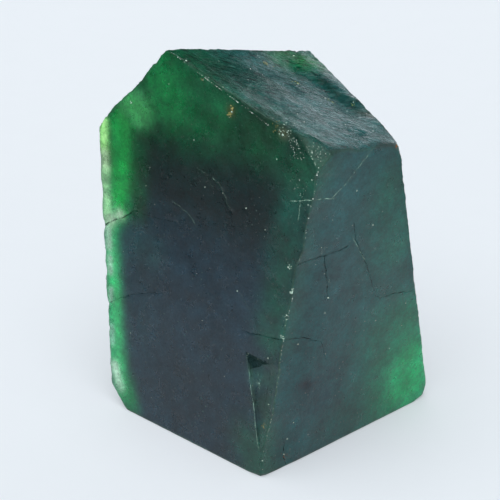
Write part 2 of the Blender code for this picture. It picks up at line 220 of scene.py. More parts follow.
def cut_levels(mesh, axis, tilt):
    """Cut the large faces that run along an axis into slices across it."""
    faces = []
    for face in mesh.faces:
        if abs(face.normal.dot(axis)) < tilt:
            if max(e.calc_length() for e in face.edges) > GRID_LONG_EDGE:
                faces.append(face)
    places = [v.co.dot(axis) for f in faces for v in f.verts]
    place = min(places) + GRID_STEP * 0.5
    while place < max(places):
        parts = {part for f in faces for part in (*f.verts, *f.edges)}
        found = bmesh.ops.bisect_plane(
            mesh, geom=[*parts, *faces], dist=SAME_POINT, plane_co=axis * place, plane_no=axis
        )
        faces = [g for g in found["geom"] if isinstance(g, bmesh.types.BMFace)]
        place += GRID_STEP


def thickness(face):
    """Height of a triangle over its longest edge."""
    return 2.0 * face.calc_area() / max(e.calc_length() for e in face.edges)


def turn_edge(edge):
    """Turn an edge between two triangles to join their other corners, if they aren't joined."""
    ends = [v for f in edge.link_faces for v in f.verts if v not in edge.verts]
    if len(ends) == 2 and ends[0] != ends[1]:
        if not any(e.other_vert(ends[0]) == ends[1] for e in ends[0].link_edges):
            bmesh.utils.edge_rotate(edge, False)


def turn_thin_triangles(mesh):
    """Turn the longest edge of every sliver, so that it joins its neighbour."""
    for _ in range(THIN_PASSES):
        for face in [f for f in mesh.faces if thickness(f) < THIN_TRIANGLE]:
            if face.is_valid and thickness(face) < THIN_TRIANGLE:
                turn_edge(max(face.edges, key=lambda e: e.calc_length()))


def along_edge(points, start, end):
    """Share of the way along an edge for each point, and distance from the edge."""
    start = np.array(start)
    run = np.array(end) - start
    share = (points - start) @ run / (run @ run)
    gap = points - start - np.clip(share, 0.0, 1.0)[:, None] * run
    return share, np.sqrt((gap * gap).sum(axis=1))


def distance_to_line(points, line):
    """Distance of each point to a broken line."""
    return np.min([along_edge(points, *ends)[1] for ends in zip(line, line[1:])], axis=0)


def fine_mesh(source):
    """The CAD solid's mesh in millimetres, with its triangles made fine."""
    mesh = bmesh.new()
    mesh.from_mesh(source)
    bmesh.ops.scale(mesh, vec=(1.0 / MM, 1.0 / MM, 1.0 / MM), verts=mesh.verts[:])
    bmesh.ops.remove_doubles(mesh, verts=mesh.verts[:], dist=SAME_POINT)
    bmesh.ops.dissolve_limit(
        mesh, angle_limit=SAME_PLANE, verts=mesh.verts[:], edges=mesh.edges[:]
    )
    cut_levels(mesh, UP, LEVEL_TILT)
    for _, normal in (LEFT, RIGHT, SIDE):
        cut_levels(mesh, UP.cross(normal).normalized(), UPRIGHT_TILT)
    bmesh.ops.remove_doubles(mesh, verts=mesh.verts[:], dist=CLOSE_POINTS)
    bmesh.ops.triangulate(mesh, faces=mesh.faces[:])
    turn_thin_triangles(mesh)
    for _ in range(HALVING_PASSES):
        edges = [e for e in mesh.edges if e.calc_length() > CRACK_EDGE]
        edges = [e for e in edges if max(f.normal.z for f in e.link_faces) > FACES_DOWN]
        lengths = np.array([e.calc_length() for e in edges])
        middles = np.array([(e.verts[0].co + e.verts[1].co)[:] for e in edges]) / 2.0
        behind = np.array([min(f.normal.y for f in e.link_faces) > FACES_BACK for e in edges])
        wanted = np.where(behind, BACK_EDGE, FINE_EDGE)
        for line in WORN_EDGES:
            wanted[distance_to_line(middles, line) < WORN_REACH] = WORN_EDGE
        for _, _, line in CRACKS:
            wanted[distance_to_line(middles, line) < CRACK_REACH] = CRACK_EDGE
        long_edges = [edges[k] for k in np.nonzero(lengths > HALVED_OVER * wanted)[0]]
        if not long_edges:
            break
        bmesh.ops.subdivide_edges(mesh, edges=long_edges, cuts=1)
        bmesh.ops.triangulate(mesh, faces=[f for f in mesh.faces if len(f.verts) > 3])
        turn_thin_triangles(mesh)
    bmesh.ops.collapse(mesh, edges=[e for e in mesh.edges if e.calc_length() < SHORTEST_EDGE])
    for _ in range(MEND_PASSES):
        bad = [e for e in mesh.edges if not e.is_manifold]
        if bad:
            bmesh.ops.collapse(mesh, edges=bad)
    return mesh


# Each random field has a seed of its own, which shifts it to another place.
SEED_STEP = np.array((7.3, 3.1, 5.7))
SEED_FACES, SEED_BREAKS, SEED_RINGS, SEED_CARVE, SEED_TOP = 21, 25, 29, 31, 33
SEED_SCALLOP, SEED_NICK, SEED_WOBBLE, SEED_RIPPLES, SEED_STEPS = 41, 43, 45, 51, 57
SEED_CHIPS, SEED_WANDER, SEED_CRACKS, SEED_UNEVEN, SEED_BLOTCHES = 61, 71, 73, 83, 85
SEED_VEIL = 91
# Seeds of the random numbers that place small pits and grains.
SEED_PITS, SEED_GRAINS = 5, 11


class Surface:
    """A triangle mesh as arrays, with the sums over neighbours that its relief needs."""

    def __init__(self, mesh):
        mesh.verts.index_update()
        self.points = np.array([v.co[:] for v in mesh.verts])
        self.corners = np.array([[v.index for v in f.verts] for f in mesh.faces])
        self.pairs = np.array([[v.index for v in e.verts] for e in mesh.edges])
        self.bends = np.array([e.calc_face_angle(0.0) for e in mesh.edges])
        self.degree = np.bincount(self.pairs.ravel(), minlength=len(self.points))

    def neighbours_mean(self, values):
        """Mean of the values at the neighbours of each point."""
        first, second = self.pairs.T
        count = len(self.points)
        total = np.empty_like(values)
        for k in range(values.shape[1]):
            total[:, k] = np.bincount(first, weights=values[second, k], minlength=count)
            total[:, k] += np.bincount(second, weights=values[first, k], minlength=count)
        return total / self.degree[:, None]

    def spread(self, values, passes):
        """Values averaged with their neighbours' several times."""
        for _ in range(passes):
            values = 0.5 * (values + self.neighbours_mean(values))
        return values

    def smooth(self, weights, passes):
        """Move points towards their neighbours' mean, by a share for each point."""
        for _ in range(passes):
            shift = self.neighbours_mean(self.points) - self.points
            self.points += 0.5 * weights[:, None] * shift

    def normals(self):
        """Outward unit normal at each point, weighted by area."""
        a, b, c = (self.points[self.corners[:, k]] for k in range(3))
        areas = np.cross(b - a, c - a)
        total = np.zeros_like(self.points)
        for k in range(3):
            np.add.at(total, self.corners[:, k], areas)
        return total / np.linalg.norm(total, axis=1)[:, None]


def level(points, face):
    """Height of each point over a flat face."""
    start, normal = face
    return (points - np.array(start)) @ np.array(normal)


def step(values):
    """Smooth step from 0 to 1, for values from 0 to 1."""
    values = np.clip(values, 0.0, 1.0)
    return values * values * (3.0 - 2.0 * values)


def lumps(points, size, seed):
    """Soft random field between -1 and 1. The size may differ along each axis."""
    places = points / np.array(size) + seed * SEED_STEP
    return np.array([noise.noise(p) for p in places.tolist()])


def near(points, place, radius):
    """Bell around a place: 1 at the place, fading over the radius."""
    gap = points - np.array(place)
    return np.exp(-(gap * gap).sum(axis=1) / (radius * radius))


def beside(points, face, reach, places, fall=2.4):
    """1 along a broken line on a face, fading over the reach."""
    gap = distance_to_line(points, line_on(face, places)) / reach
    return np.exp(-(gap ** fall))


def picture_rows(points):
    """The picture row at which each point appears."""
    sight = points - np.array(EYE)
    return PICTURE / 2.0 - PIXELS_OF_LENS * (sight @ np.array(LOOK_UP)) / (sight @ np.array(LOOK))


# ---------------------------------------------------------------- relief of the stone

# A point nearer than this to a flat face lies on it.
FLAT = 0.004
# Breaks are smoothed, except at edges that bend more than this.
BREAK_BEND = math.radians(27.0)
BREAK_SMOOTHING = 9
# Corners that are rounded, with the reach in mm, and the worn rim across the top.
CORNER_ROUNDING = (
    (LEFT_SHOULDER, 0.75), (LEFT_PEAK, 0.7), (FRONT_FOOT, 0.55), (RIGHT_SHOULDER, 0.9),
)
WORN_RIM = ((290, 131), (312, 143), (335, 147), (370, 146), (398, 143))
RIM_REACH = 0.32
CORNER_PASSES = 26
# Each point's kind of surface and wear, from the mean normal of the surface round it.
SPREAD_PASSES = 5
FACE_FROM, FACE_OVER = 0.86, 0.12
UPWARD_FROM, UPWARD_OVER = 0.62, 0.2
TOP_FROM, TOP_OVER = 16.0, 1.5
WEAR_FROM, WEAR_GAIN = 0.02, 9.0
# The relief is lower beside the thin left edge, on worn places and at the foot.
EDGE_CALM, EDGE_CALM_OVER = 0.35, 3.0
WORN_CALM = 0.7
FOOT_OVER = 0.12

# Unevenness of the sawn faces and of the breaks: size and height of each layer.
FACE_LAYERS = ((4.2, 0.035), (1.7, 0.016), (0.7, 0.008), (0.33, 0.0035))
BREAK_LAYERS = ((2.1, 0.04), (0.9, 0.022), (0.42, 0.01))
# Ripples of the top run along its front edge: pitch across, length along, height. Their
# fronts are steeper than their backs.
TOP_RIPPLES = ((0.5, 1.5, 0.022), (1.3, 3.6, 0.034), (0.36, 1.0, 0.012))
RIPPLE_LEAN = 0.35
RIPPLES_ALONG = ((240, 69), (300, 92))
# Short steps among them: length, pitch, width of a step's rise, height, and the distances
# from the front edge at which they set in.
TOP_STEPS = (2.6, 0.9, 0.22, 0.06)
STEPS_FROM, STEPS_OVER = 0.4, 3.0
FAR = 1.0e3
# Rings of the breaks at the back: middle, pitch, height, and size and strength of two
# random fields, which bend them and let them fade.
BACK_FOCUS = corner(-9.5, 4.0, 8.0)
RING_PITCH = 0.85
RING_HEIGHT = 0.03
RING_BEND = (3.0, 0.5)
RING_FADE = (4.0, 0.4)

# How far the ridge bows to the left of a straight line, in pixels by picture row.
RIDGE_BOW = (
    (176, 0.9), (190, 0.0), (205, 0.5), (225, 1.7), (250, 0.4), (262, 3.0), (270, 4.2),
    (293, 3.3), (315, 4.0), (338, 3.8), (350, 4.0), (370, 2.9), (389, 2.4), (415, 0.6),
    (425, 2.2), (440, 3.0), (450, 3.8), (465, 2.2), (476, 0.0),
)
BOW_FADE = 3.0
RIDGE_END = 0.97
RIDGE_WOBBLE = ((0.85, 0.05), (0.33, 0.03))
WOBBLE_FADE = 0.35
UP_ONLY = np.array((0.0, 0.0, 1.0))
ALONG_LEFT = UP.cross(LEFT[1]).normalized()
if ALONG_LEFT.x > 0.0:
    ALONG_LEFT.negate()

# How far the broken edge over the left shoulder lies inside a straight line, in mm.
SHOULDER_CARVE = ((0.0, 0.0), (0.15, 0.02), (0.45, 0.16), (0.62, 0.22), (0.8, 0.09), (1.0, 0.0))
CARVE_ROUGH = ((0.7, 0.03),)
CARVE_FADE = 1.3
CARVED_WAY = LEFT[1].cross(LEFT_PEAK - LEFT_SHOULDER).normalized()
if CARVED_WAY.z > 0.0:
    CARVED_WAY.negate()
LEFT_SCALLOP = ((1.32, 0.05), (0.55, 0.03))
SCALLOP_FADE = 0.8
# Notches of the left edge: picture row, depth and half width in mm.
LEFT_NOTCHES = (
    (158, 0.05, 0.4), (190, 0.06, 0.4), (225, 0.13, 0.3), (251, 0.08, 0.35),
    (270, 0.1, 0.35), (303, 0.12, 0.3), (328, 0.08, 0.35), (352, 0.06, 0.3), (374, 0.1, 0.3),
)
RIGHT_NICK = ((0.31, 0.03), (1.1, 0.022))
NICK_FADE = 0.35

# Chips out of worn edges: size, how much of the edge they take, depth.
CHIPS = ((0.24, 0.15, 0.05), (0.768, -0.1, 0.08))
RANDOM_PITS = 420
PIT_RADIUS = (0.05, 0.12)
PIT_DEPTH = (0.01, 0.035)
# Cracks wander and break off: size and strength. The mark of one this deep is full.
CRACK_WANDER = (0.35, 0.05)
CRACK_GAPS = (0.5, 0.45)
CRACK_DEEP = 0.06
CLEAR_OF_BOX = 0.004


def layered(points, layers, seed):
    """Sum of lumps of several sizes."""
    return sum(height * lumps(points, size, seed + k) for k, (size, height) in enumerate(layers))


def bites(points, layers, seed, least=0.5):
    """Depth of bites that change with height only."""
    height = points * UP_ONLY
    return sum(depth * (least + lumps(height, size, seed)) for size, depth in layers)


def shifted(amount, gap, fade, way):
    """Shift of each point by an amount that fades with the distance from an edge."""
    return (amount * step(1.0 - gap / fade))[:, None] * np.array(way)


def edge_shift(points):
    """Sideways shifts: the bowed ridge, the carved shoulder, the scalloped left edge."""
    row = picture_rows(points)
    share, gap = along_edge(points, *RIDGE)
    on_ridge = (share > 0.0) & (share < RIDGE_END)
    rows, bows = np.array(RIDGE_BOW).T
    bow = np.interp(row, rows, bows / PIXELS_PER_MM / abs(ALONG_LEFT.x), left=0.0)
    out = shifted(bow * on_ridge, gap, BOW_FADE, ALONG_LEFT)
    wobble = bites(points, RIDGE_WOBBLE, SEED_WOBBLE, least=0.0)
    out += shifted(wobble * on_ridge, gap, WOBBLE_FADE, ALONG_LEFT)
    share, gap = along_edge(points, *SHOULDER_EDGE)
    carve = np.interp(share, *np.array(SHOULDER_CARVE).T)
    carve += layered(points, CARVE_ROUGH, SEED_CARVE)
    out += shifted(carve * ((share > 0.0) & (share < 1.0)), gap, CARVE_FADE, CARVED_WAY)
    bite = bites(points, LEFT_SCALLOP, SEED_SCALLOP)
    for notch, depth, half in LEFT_NOTCHES:
        bite += depth * np.exp(-(((row - notch) / PIXELS_PER_MM / half) ** 2))
    out -= shifted(bite, along_edge(points, *LEFT_EDGE)[1], SCALLOP_FADE, ALONG_LEFT)
    nick = bites(points, RIGHT_NICK, SEED_NICK)
    out -= shifted(nick, along_edge(points, *RIGHT_EDGE)[1], NICK_FADE, (1.0, 0.0, 0.0))
    return out


def top_axes():
    """Directions on the top along its ripples and across them, and its normal."""
    start, end = line_on(TOP, RIPPLES_ALONG)
    along = (end - start).normalized()
    return along, TOP[1].cross(along).normalized(), TOP[1]


def top_height(points):
    """Ripples of the top: long low waves beside its front edge, with steep fronts."""
    turned = (points - np.array(LEFT_PEAK)) @ np.array(top_axes()).T
    height = np.zeros(len(points))
    for k, (pitch, length, rise) in enumerate(TOP_RIPPLES):
        wave = lumps(turned, (length, pitch, FAR), SEED_RIPPLES + k)
        height += rise * (wave - RIPPLE_LEAN * np.abs(wave))
    length, pitch, share, rise = TOP_STEPS
    steps = step(lumps(turned, (length, pitch, FAR), SEED_STEPS) / share) - 0.5
    return height + rise * steps * step((turned[:, 1] - STEPS_FROM) / STEPS_OVER)


def back_rings(points):
    """Rings round the point that the back broke away from."""
    reach = np.linalg.norm(points - np.array(BACK_FOCUS), axis=1)
    reach += layered(points, (RING_BEND,), SEED_RINGS)
    size, least = RING_FADE
    fade = least + lumps(points, size, SEED_RINGS + 1)
    return RING_HEIGHT * np.sin(2.0 * math.pi * reach / RING_PITCH) * fade


def chips(points):
    """Depth of the chips at each point of a worn edge."""
    return sum(
        depth * np.maximum(0.0, lumps(points, size, SEED_CHIPS + 2 * k) + more)
        for k, (size, more, depth) in enumerate(CHIPS)
    )


def pit_list(points):
    """Every pit: place, radius, depth. Small ones lie at random."""
    listed = by_face(LEFT_PITS, RIGHT_PITS, TOP_PITS)
    pits = [(seen_on(face, column, row), r, d) for face, column, row, r, d in listed]
    rng = random.Random(SEED_PITS)
    for _ in range(RANDOM_PITS):
        place = points[rng.randrange(len(points))]
        pits.append((place, rng.uniform(*PIT_RADIUS), rng.uniform(*PIT_DEPTH)))
    return pits


def bounded(points):
    """Keep points inside the CAD solid's box."""
    low, high = np.array(CAD_BOX) / MM + np.array([[CLEAR_OF_BOX], [-CLEAR_OF_BOX]])
    low[2] = 0.0
    return np.clip(points, low, high)


def soften(surface, fixed):
    """Smooth the breaks, and round the corners and the worn rim."""
    sharp = np.zeros(len(surface.points), dtype=bool)
    sharp[surface.pairs[surface.bends > BREAK_BEND].ravel()] = True
    surface.smooth((~sharp & ~fixed).astype(float), BREAK_SMOOTHING)
    for place, radius in CORNER_ROUNDING:
        surface.smooth(near(surface.points, place, radius), CORNER_PASSES)
    rim = beside(surface.points, TOP, RIM_REACH, WORN_RIM, 2.0)
    surface.smooth(rim, CORNER_PASSES)


def marks_of(points, wide):
    """Wear and kinds of surface of each point, from the mean normals round it."""
    length = np.linalg.norm(wide, axis=1)
    unit = wide / length[:, None]
    marks = SimpleNamespace(wear=step(WEAR_GAIN * (1.0 - length - WEAR_FROM)))
    marks.left, marks.right, marks.side = (
        step((unit @ np.array(normal) - FACE_FROM) / FACE_OVER)
        for _, normal in (LEFT, RIGHT, SIDE)
    )
    marks.sawn = np.maximum(np.maximum(marks.left, marks.right), marks.side)
    marks.top = step((unit[:, 2] - UPWARD_FROM) / UPWARD_OVER)
    marks.top *= step((points[:, 2] - TOP_FROM) / TOP_OVER)
    marks.back = (1.0 - marks.sawn) * (1.0 - marks.top)
    return marks


def relief(points, marks):
    """Height of the relief at each point. Marks the cracks."""
    lift = marks.sawn * layered(points, FACE_LAYERS, SEED_FACES)
    lift += marks.back * (layered(points, BREAK_LAYERS, SEED_BREAKS) + back_rings(points))
    lift += marks.top * (top_height(points) + layered(points, BREAK_LAYERS, SEED_TOP))
    from_edge = along_edge(points, *LEFT_EDGE)[1] / EDGE_CALM_OVER
    lift *= EDGE_CALM + (1.0 - EDGE_CALM) * step(from_edge)
    lift *= 1.0 - WORN_CALM * marks.wear
    lift -= marks.wear * chips(points)
    for place, radius, depth in pit_list(points):
        lift -= depth * near(points, place, radius)
    size, strength = CRACK_WANDER
    wander = [lumps(points, size, SEED_WANDER + k) for k in range(3)]
    wandered = points + strength * np.stack(wander, axis=1)
    size, strength = CRACK_GAPS
    marks.crack = np.zeros(len(points))
    for k, (half_width, depth, line) in enumerate(CRACKS):
        cut = step(1.0 - distance_to_line(wandered, line) / half_width)
        cut *= 1.0 - strength + strength * lumps(points, size, SEED_CRACKS + k)
        lift -= depth * cut
        marks.crack = np.maximum(marks.crack, cut * depth / CRACK_DEEP)
    return lift * step(points[:, 2] / FOOT_OVER)


def grow_relief(surface):
    """Smooth the breaks, then shift and displace every point. Returns the marks."""
    base = surface.points[:, 2] < FLAT
    flat = [np.abs(level(surface.points, face)) < FLAT for face in (LEFT, RIGHT, SIDE)]
    soften(surface, base | flat[0] | flat[1] | flat[2])
    points = surface.points
    normals = surface.normals()
    marks = marks_of(points, surface.spread(normals, SPREAD_PASSES))
    shift = normals * relief(points, marks)[:, None] + edge_shift(points) * ~base[:, None]
    surface.points = bounded(points + shift)
    surface.points[base, 2] = 0.0
    return marks


# ---------------------------------------------------------------- colours of the surface

# Colour of the light scattered just under the surface, by face. It is partly the stone's own
# colour and partly painted light: the left face's blue tint is a painted sheen, and its darker
# upper colour is painted shade.
HAZE_AND_SHEEN_LEFT = (0.009, 0.068, 0.115)
HAZE_LEFT_ABOVE_SHADED = (0.0, 0.032, 0.036)
HAZE_RIGHT = (0.0, 0.146, 0.157)
HAZE_TOP = (0.03, 0.272, 0.272)
HAZE_BREAK = (0.02, 0.136, 0.088)
HAZE_SIDE = (0.024, 0.16, 0.128)
HAZE_EDGE = (0.056, 0.24, 0.144)
HAZE_WORN = 0.5
# The left face changes to its darker upper colour, a painted shade, over these heights.
ABOVE_FROM, ABOVE_OVER = 11.1, 4.5

# Places with a colour of their own: face, picture point, radius in mm, colour, strength. The
# bright green ones are painted glow, where light comes through thin parts of the stone, and the
# dark ones on the top and in the pit of the right face are painted shade.
HAZE_GLOW_AND_SHADE_SPOTS = (
    (LEFT, 195, 408, 3.2, (0.002, 0.04, 0.068), 0.8),
    (LEFT, 172, 82, 2.6, (0.012, 0.74, 0.17), 0.95),
    (LEFT, 138, 107, 0.85, (0.16, 1.0, 0.37), 1.0),
    (LEFT, 215, 115, 2.1, (0.01, 0.352, 0.112), 0.85),
    (LEFT, 262, 138, 1.8, (0.008, 0.24, 0.08), 0.85),
    (LEFT, 304, 175, 1.7, (0.006, 0.24, 0.08), 0.9),
    (LEFT, 259, 376, 0.8, (0.03, 0.205, 0.15), 0.9),
    (LEFT, 261, 404, 0.7, (0.016, 0.144, 0.088), 0.9),
    (LEFT, 255, 384, 0.3, (0.096, 0.304, 0.288), 0.9),
    (LEFT, 284, 133, 0.35, (0.36, 0.384, 0.2), 0.6),
    (LEFT, 231, 111, 0.3, (0.224, 0.192, 0.04), 0.7),
    (RIGHT, 408, 376, 2.9, (0.004, 0.9, 0.35), 1.0),
    (RIGHT, 404, 330, 2.4, (0.0, 0.43, 0.2), 0.85),
    (RIGHT, 384, 398, 1.8, (0.0, 0.24, 0.12), 0.8),
    (RIGHT, 396, 240, 2.6, (0.002, 0.3, 0.2), 0.8),
    (RIGHT, 388, 190, 2.0, (0.002, 0.26, 0.165), 0.85),
    (RIGHT, 345, 412, 2.2, (0.0, 0.148, 0.116), 0.8),
    (RIGHT, 345, 195, 2.6, (0.008, 0.208, 0.216), 0.9),
    (RIGHT, 340, 270, 2.0, (0.008, 0.152, 0.168), 0.8),
    (RIGHT, 320, 396, 1.9, (0.0, 0.085, 0.115), 0.75),
    (RIGHT, 382, 330, 1.9, (0.0, 0.29, 0.18), 0.65),
    (RIGHT, 306, 386, 0.62, (0.0, 0.02, 0.034), 1.0),
    (RIGHT, 318, 146, 1.0, (0.016, 0.272, 0.168), 0.8),
    (TOP, 205, 62, 2.3, (0.01, 0.2, 0.1), 0.9),
    (TOP, 248, 76, 1.9, (0.006, 0.155, 0.115), 0.85),
)
# The same along broken lines: face, reach in mm, colour, strength, picture points. The bright
# green ones beside the left edge and near the top's back corner are painted glow, and the dark
# ones along the top's worn rim and along the step at its back are painted shade.
HAZE_GLOW_AND_SHADE_STROKES = (
    (TOP, 0.28, (0.002, 0.04, 0.032), 0.92, WORN_RIM),
    (LEFT, 0.75, (0.002, 0.11, 0.05), 0.9, ((141, 120), (140, 170), (138, 215))),
    (LEFT, 0.9, (0.01, 0.58, 0.12), 0.95, ((120, 118), (120, 165), (118, 212))),
    (LEFT, 0.68, (0.06, 0.7, 0.26), 0.95, ((112, 215), (112, 260), (114, 320), (122, 392))),
    (LEFT, 0.7, (0.002, 0.42, 0.14), 0.85, ((127, 384), (131, 406))),
    (LEFT, 1.15, (0.022, 0.135, 0.16), 0.75, ((131, 243), (152, 252))),
    (LEFT, 0.45, (0.002, 0.125, 0.085), 0.8, ((274, 345), (269, 395), (263, 440))),
    (LEFT, 1.5, (0.004, 0.15, 0.095), 0.9, ((246, 440), (258, 470))),
    (RIGHT, 1.1, (0.002, 0.17, 0.105), 0.85, ((266, 440), (262, 474))),
    (LEFT, 1.25, (0.005, 0.2, 0.128), 0.85, ((296, 200), (289, 240), (280, 290), (272, 335))),
    (RIGHT, 0.28, (0.03, 0.29, 0.26), 0.6, ((373, 148), (354, 173), (330, 202))),
    (TOP, 1.3, (0.01, 0.43, 0.1), 0.95, ((288, 56), (308, 62))),
    (TOP, 0.34, (0.004, 0.08, 0.03), 0.95, (
        (290, 62), (303, 71), (318, 77), (335, 90), (345, 98), (362, 111), (372, 116))),
)

# Milky places, which scatter more and let less through: face, reach, colour, milk, picture
# points. The green ones near the top of the left edge and at the right face's lower corner are
# painted glow.
MILKY_AND_GLOW_STROKES = (
    (LEFT, 0.42, (0.44, 1.0, 0.31), 1.0, ((103.5, 121), (104, 147))),
    (LEFT, 0.4, (0.52, 0.8, 0.44), 1.0, ((105, 155), (105.5, 166))),
    (LEFT, 0.4, (0.47, 0.94, 0.45), 1.0, ((105, 174), (105.5, 185))),
    (LEFT, 0.44, (0.42, 0.88, 0.43), 0.9, ((106, 197), (108, 222))),
    (LEFT, 0.4, (0.44, 0.66, 0.44), 0.8, ((109, 221), (120, 214))),
    (LEFT, 0.32, (0.38, 0.66, 0.46), 0.9, ((108, 229), (109, 246))),
    (LEFT, 0.26, (0.34, 0.64, 0.44), 0.8, ((110, 258), (110.5, 272))),
    (LEFT, 0.24, (0.34, 0.6, 0.44), 0.8, ((111, 290), (111, 299))),
    (LEFT, 0.24, (0.24, 0.56, 0.38), 0.7, ((112, 326), (112.5, 342))),
    (LEFT, 0.42, (0.42, 0.66, 0.48), 1.0, ((115, 366), (120, 386))),
    (LEFT, 1.0, (0.08, 0.6, 0.17), 0.4, ((128, 104), (140, 112))),
    (RIGHT, 1.8, (0.0, 0.58, 0.19), 0.6, ((412, 366), (408, 384))),
)

# Random unevenness of the places and of the whole: size and strength of each layer.
UNEVEN = ((0.9, 0.35), (0.4, 0.25))
BLOTCHES = ((0.75, 0.3), (0.33, 0.22))

# Roughness of the kinds of surface.
ROUGH_LEFT = 0.31
ROUGH_RIGHT = 0.34
ROUGH_SIDE = 0.44
ROUGH_TOP = 0.15
ROUGH_BREAK = 0.46


def mixed(values, share, other):
    """Rows of values with a share of another row put in."""
    share = np.clip(share, 0.0, 1.0)[:, None]
    return values * (1.0 - share) + np.array(other) * share


def shares_of(marks):
    """Shares of the kinds of surface at each point: left, right, side, top, break."""
    kinds = (marks.left, marks.right, marks.side, marks.top, marks.back + 1e-3)
    shares = np.stack(kinds, axis=1)
    return shares / shares.sum(axis=1)[:, None]


def scatter_and_painted_light_colours(points, marks):
    """Red, green, blue and milk of each point of the surface, with its painted glow, sheen and
    shade.
    """
    # The left face's upper part takes a darker colour, a painted shade.
    above = step((points[:, 2] - ABOVE_FROM) / ABOVE_OVER)
    left = mixed(np.array(HAZE_AND_SHEEN_LEFT), above, HAZE_LEFT_ABOVE_SHADED)
    shares = shares_of(marks)
    others = np.array((HAZE_RIGHT, HAZE_SIDE, HAZE_TOP, HAZE_BREAK))
    colours = shares[:, :1] * left + shares[:, 1:] @ others
    out = np.column_stack([colours, np.zeros(len(points))])
    uneven = 1.0 + layered(points, UNEVEN, SEED_UNEVEN)
    # Strokes and spots put in stains, milky places, painted glow and painted shade.
    for face, reach, colour, strength, places in HAZE_GLOW_AND_SHADE_STROKES:
        share = strength * beside(points, face, reach, places) * uneven
        out = mixed(out, share, (*colour, 0.0))
    for face, column, row, radius, colour, strength in HAZE_GLOW_AND_SHADE_SPOTS:
        share = strength * near(points, seen_on(face, column, row), radius) * uneven
        out = mixed(out, share, (*colour, 0.0))
    worn = HAZE_WORN * marks.wear
    out = mixed(out, worn, (*HAZE_EDGE, 0.0))
    for face, reach, colour, milk, places in MILKY_AND_GLOW_STROKES:
        share = beside(points, face, reach, places) * uneven * (1.0 - worn)
        out = mixed(out, share, (*colour, milk))
    out[:, :3] *= 1.0 + layered(points, BLOTCHES, SEED_BLOTCHES)[:, None]
    return np.clip(out, 0.0, 1.0)


def roughness_of(marks):
    """Roughness of each point of the surface."""
    rough = (ROUGH_LEFT, ROUGH_RIGHT, ROUGH_SIDE, ROUGH_TOP, ROUGH_BREAK)
    return shares_of(marks) @ np.array(rough)


class Nodes:
    """The node tree of a material or a world, with short calls to add and join nodes."""

    # Where a colour mix has its two colours and its result.
    FIRST, SECOND, MIXED = 6, 7, 2

    def __init__(self, owner):
        owner.use_nodes = True
        self.owner = owner
        self.tree = owner.node_tree

    def put(self, target, value):
        """Join a socket to another one, or set it to a plain value."""
        if isinstance(value, bpy.types.NodeSocket):
            self.tree.links.new(value, target)
        elif target.type == "RGBA":
            target.default_value = (*value, 1.0)
        else:
            target.default_value = value

    def set(self, node, **values):
        """Put values into a node's sockets; underscores stand for spaces."""
        for name, value in values.items():
            self.put(node.inputs[name.replace("_", " ")], value)

    def add(self, kind, **values):
        """Add a node and put values into its sockets."""
        node = self.tree.nodes.new("ShaderNode" + kind)
        self.set(node, **values)
        return node

    def shade(self, **values):
        """Put values into the shader's sockets."""
        self.set(self.tree.nodes["Principled BSDF"], **values)

    def mapped(self, kind, scale, turn):
        """Position in the object, scaled and turned."""
        place = self.add("TexCoord").outputs["Object"]
        node = self.add("Mapping", Vector=place, Scale=scale, Rotation=turn)
        node.vector_type = kind
        return node.outputs["Vector"]

    def place(self, stretch=(1.0, 1.0, 1.0), turn=(0.0, 0.0, 0.0)):
        """Position in the object in millimetres, stretched and turned."""
        return self.mapped("POINT", [k / MM for k in stretch], turn)

    def place_along(self, axes, sizes):
        """Position along three directions, each in units of a size in millimetres."""
        turn = Matrix(axes).transposed().to_euler()
        return self.mapped("TEXTURE", [k * MM for k in sizes], turn)

    def noise(self, size, detail=4.0, place=None, rough=0.55):
        """Soft noise with lumps of a size in millimetres."""
        place = place or self.place()
        node = self.add("TexNoise", Scale=1.0 / size, Detail=detail, Roughness=rough, Vector=place)
        return node.outputs["Fac"]

    def spots(self, size):
        """Distance from scattered points, in units of the size."""
        node = self.add("TexVoronoi", Scale=1.0 / size, Vector=self.place())
        return node.outputs["Distance"]

    def ramp(self, value, low, high, start=0.0, end=1.0, kind="LINEAR"):
        """Value brought from low..high to start..end, held outside."""
        node = self.add("MapRange", Value=value, From_Min=low, From_Max=high)
        self.set(node, To_Min=start, To_Max=end)
        node.interpolation_type = kind
        return node.outputs["Result"]

    def layer(self, size, detail, low, high, start, end, rough=0.55):
        """Noise whose range low..high is brought to start..end."""
        return self.ramp(self.noise(size, detail, rough=rough), low, high, start, end)

    def maths(self, kind, first, second):
        """Sum or product of two values."""
        node = self.add("Math")
        node.operation = kind
        self.put(node.inputs[0], first)
        self.put(node.inputs[1], second)
        return node.outputs[0]

    def blend(self, share, first, second, kind="MIX"):
        """Mix of two colours."""
        node = self.add("Mix")
        node.data_type = "RGBA"
        node.blend_type = kind
        self.put(node.inputs[0], share)
        self.put(node.inputs[self.FIRST], first)
        self.put(node.inputs[self.SECOND], second)
        return node.outputs[self.MIXED]

    def painted(self, name):
        """Colour and alpha stored at the mesh's points."""
        node = self.add("VertexColor")
        node.layer_name = name
        return node.outputs["Color"], node.outputs["Alpha"]

    def bump(self, height, distance, strength=1.0, below=None):
        """Bumps whose full height is a distance in millimetres."""
        node = self.add("Bump", Height=height, Distance=distance * MM, Strength=strength)
        if below is not None:
            self.set(node, Normal=below)
        return node.outputs["Normal"]


# Beryl: light lost per millimetre in red, green and blue, and how much gets through.
IOR = 1.58
LOSS = (2.88, 0.8, 1.84)
SEE_THROUGH = 0.7
MILKY_THROUGH = 0.25
SHINE = 0.25

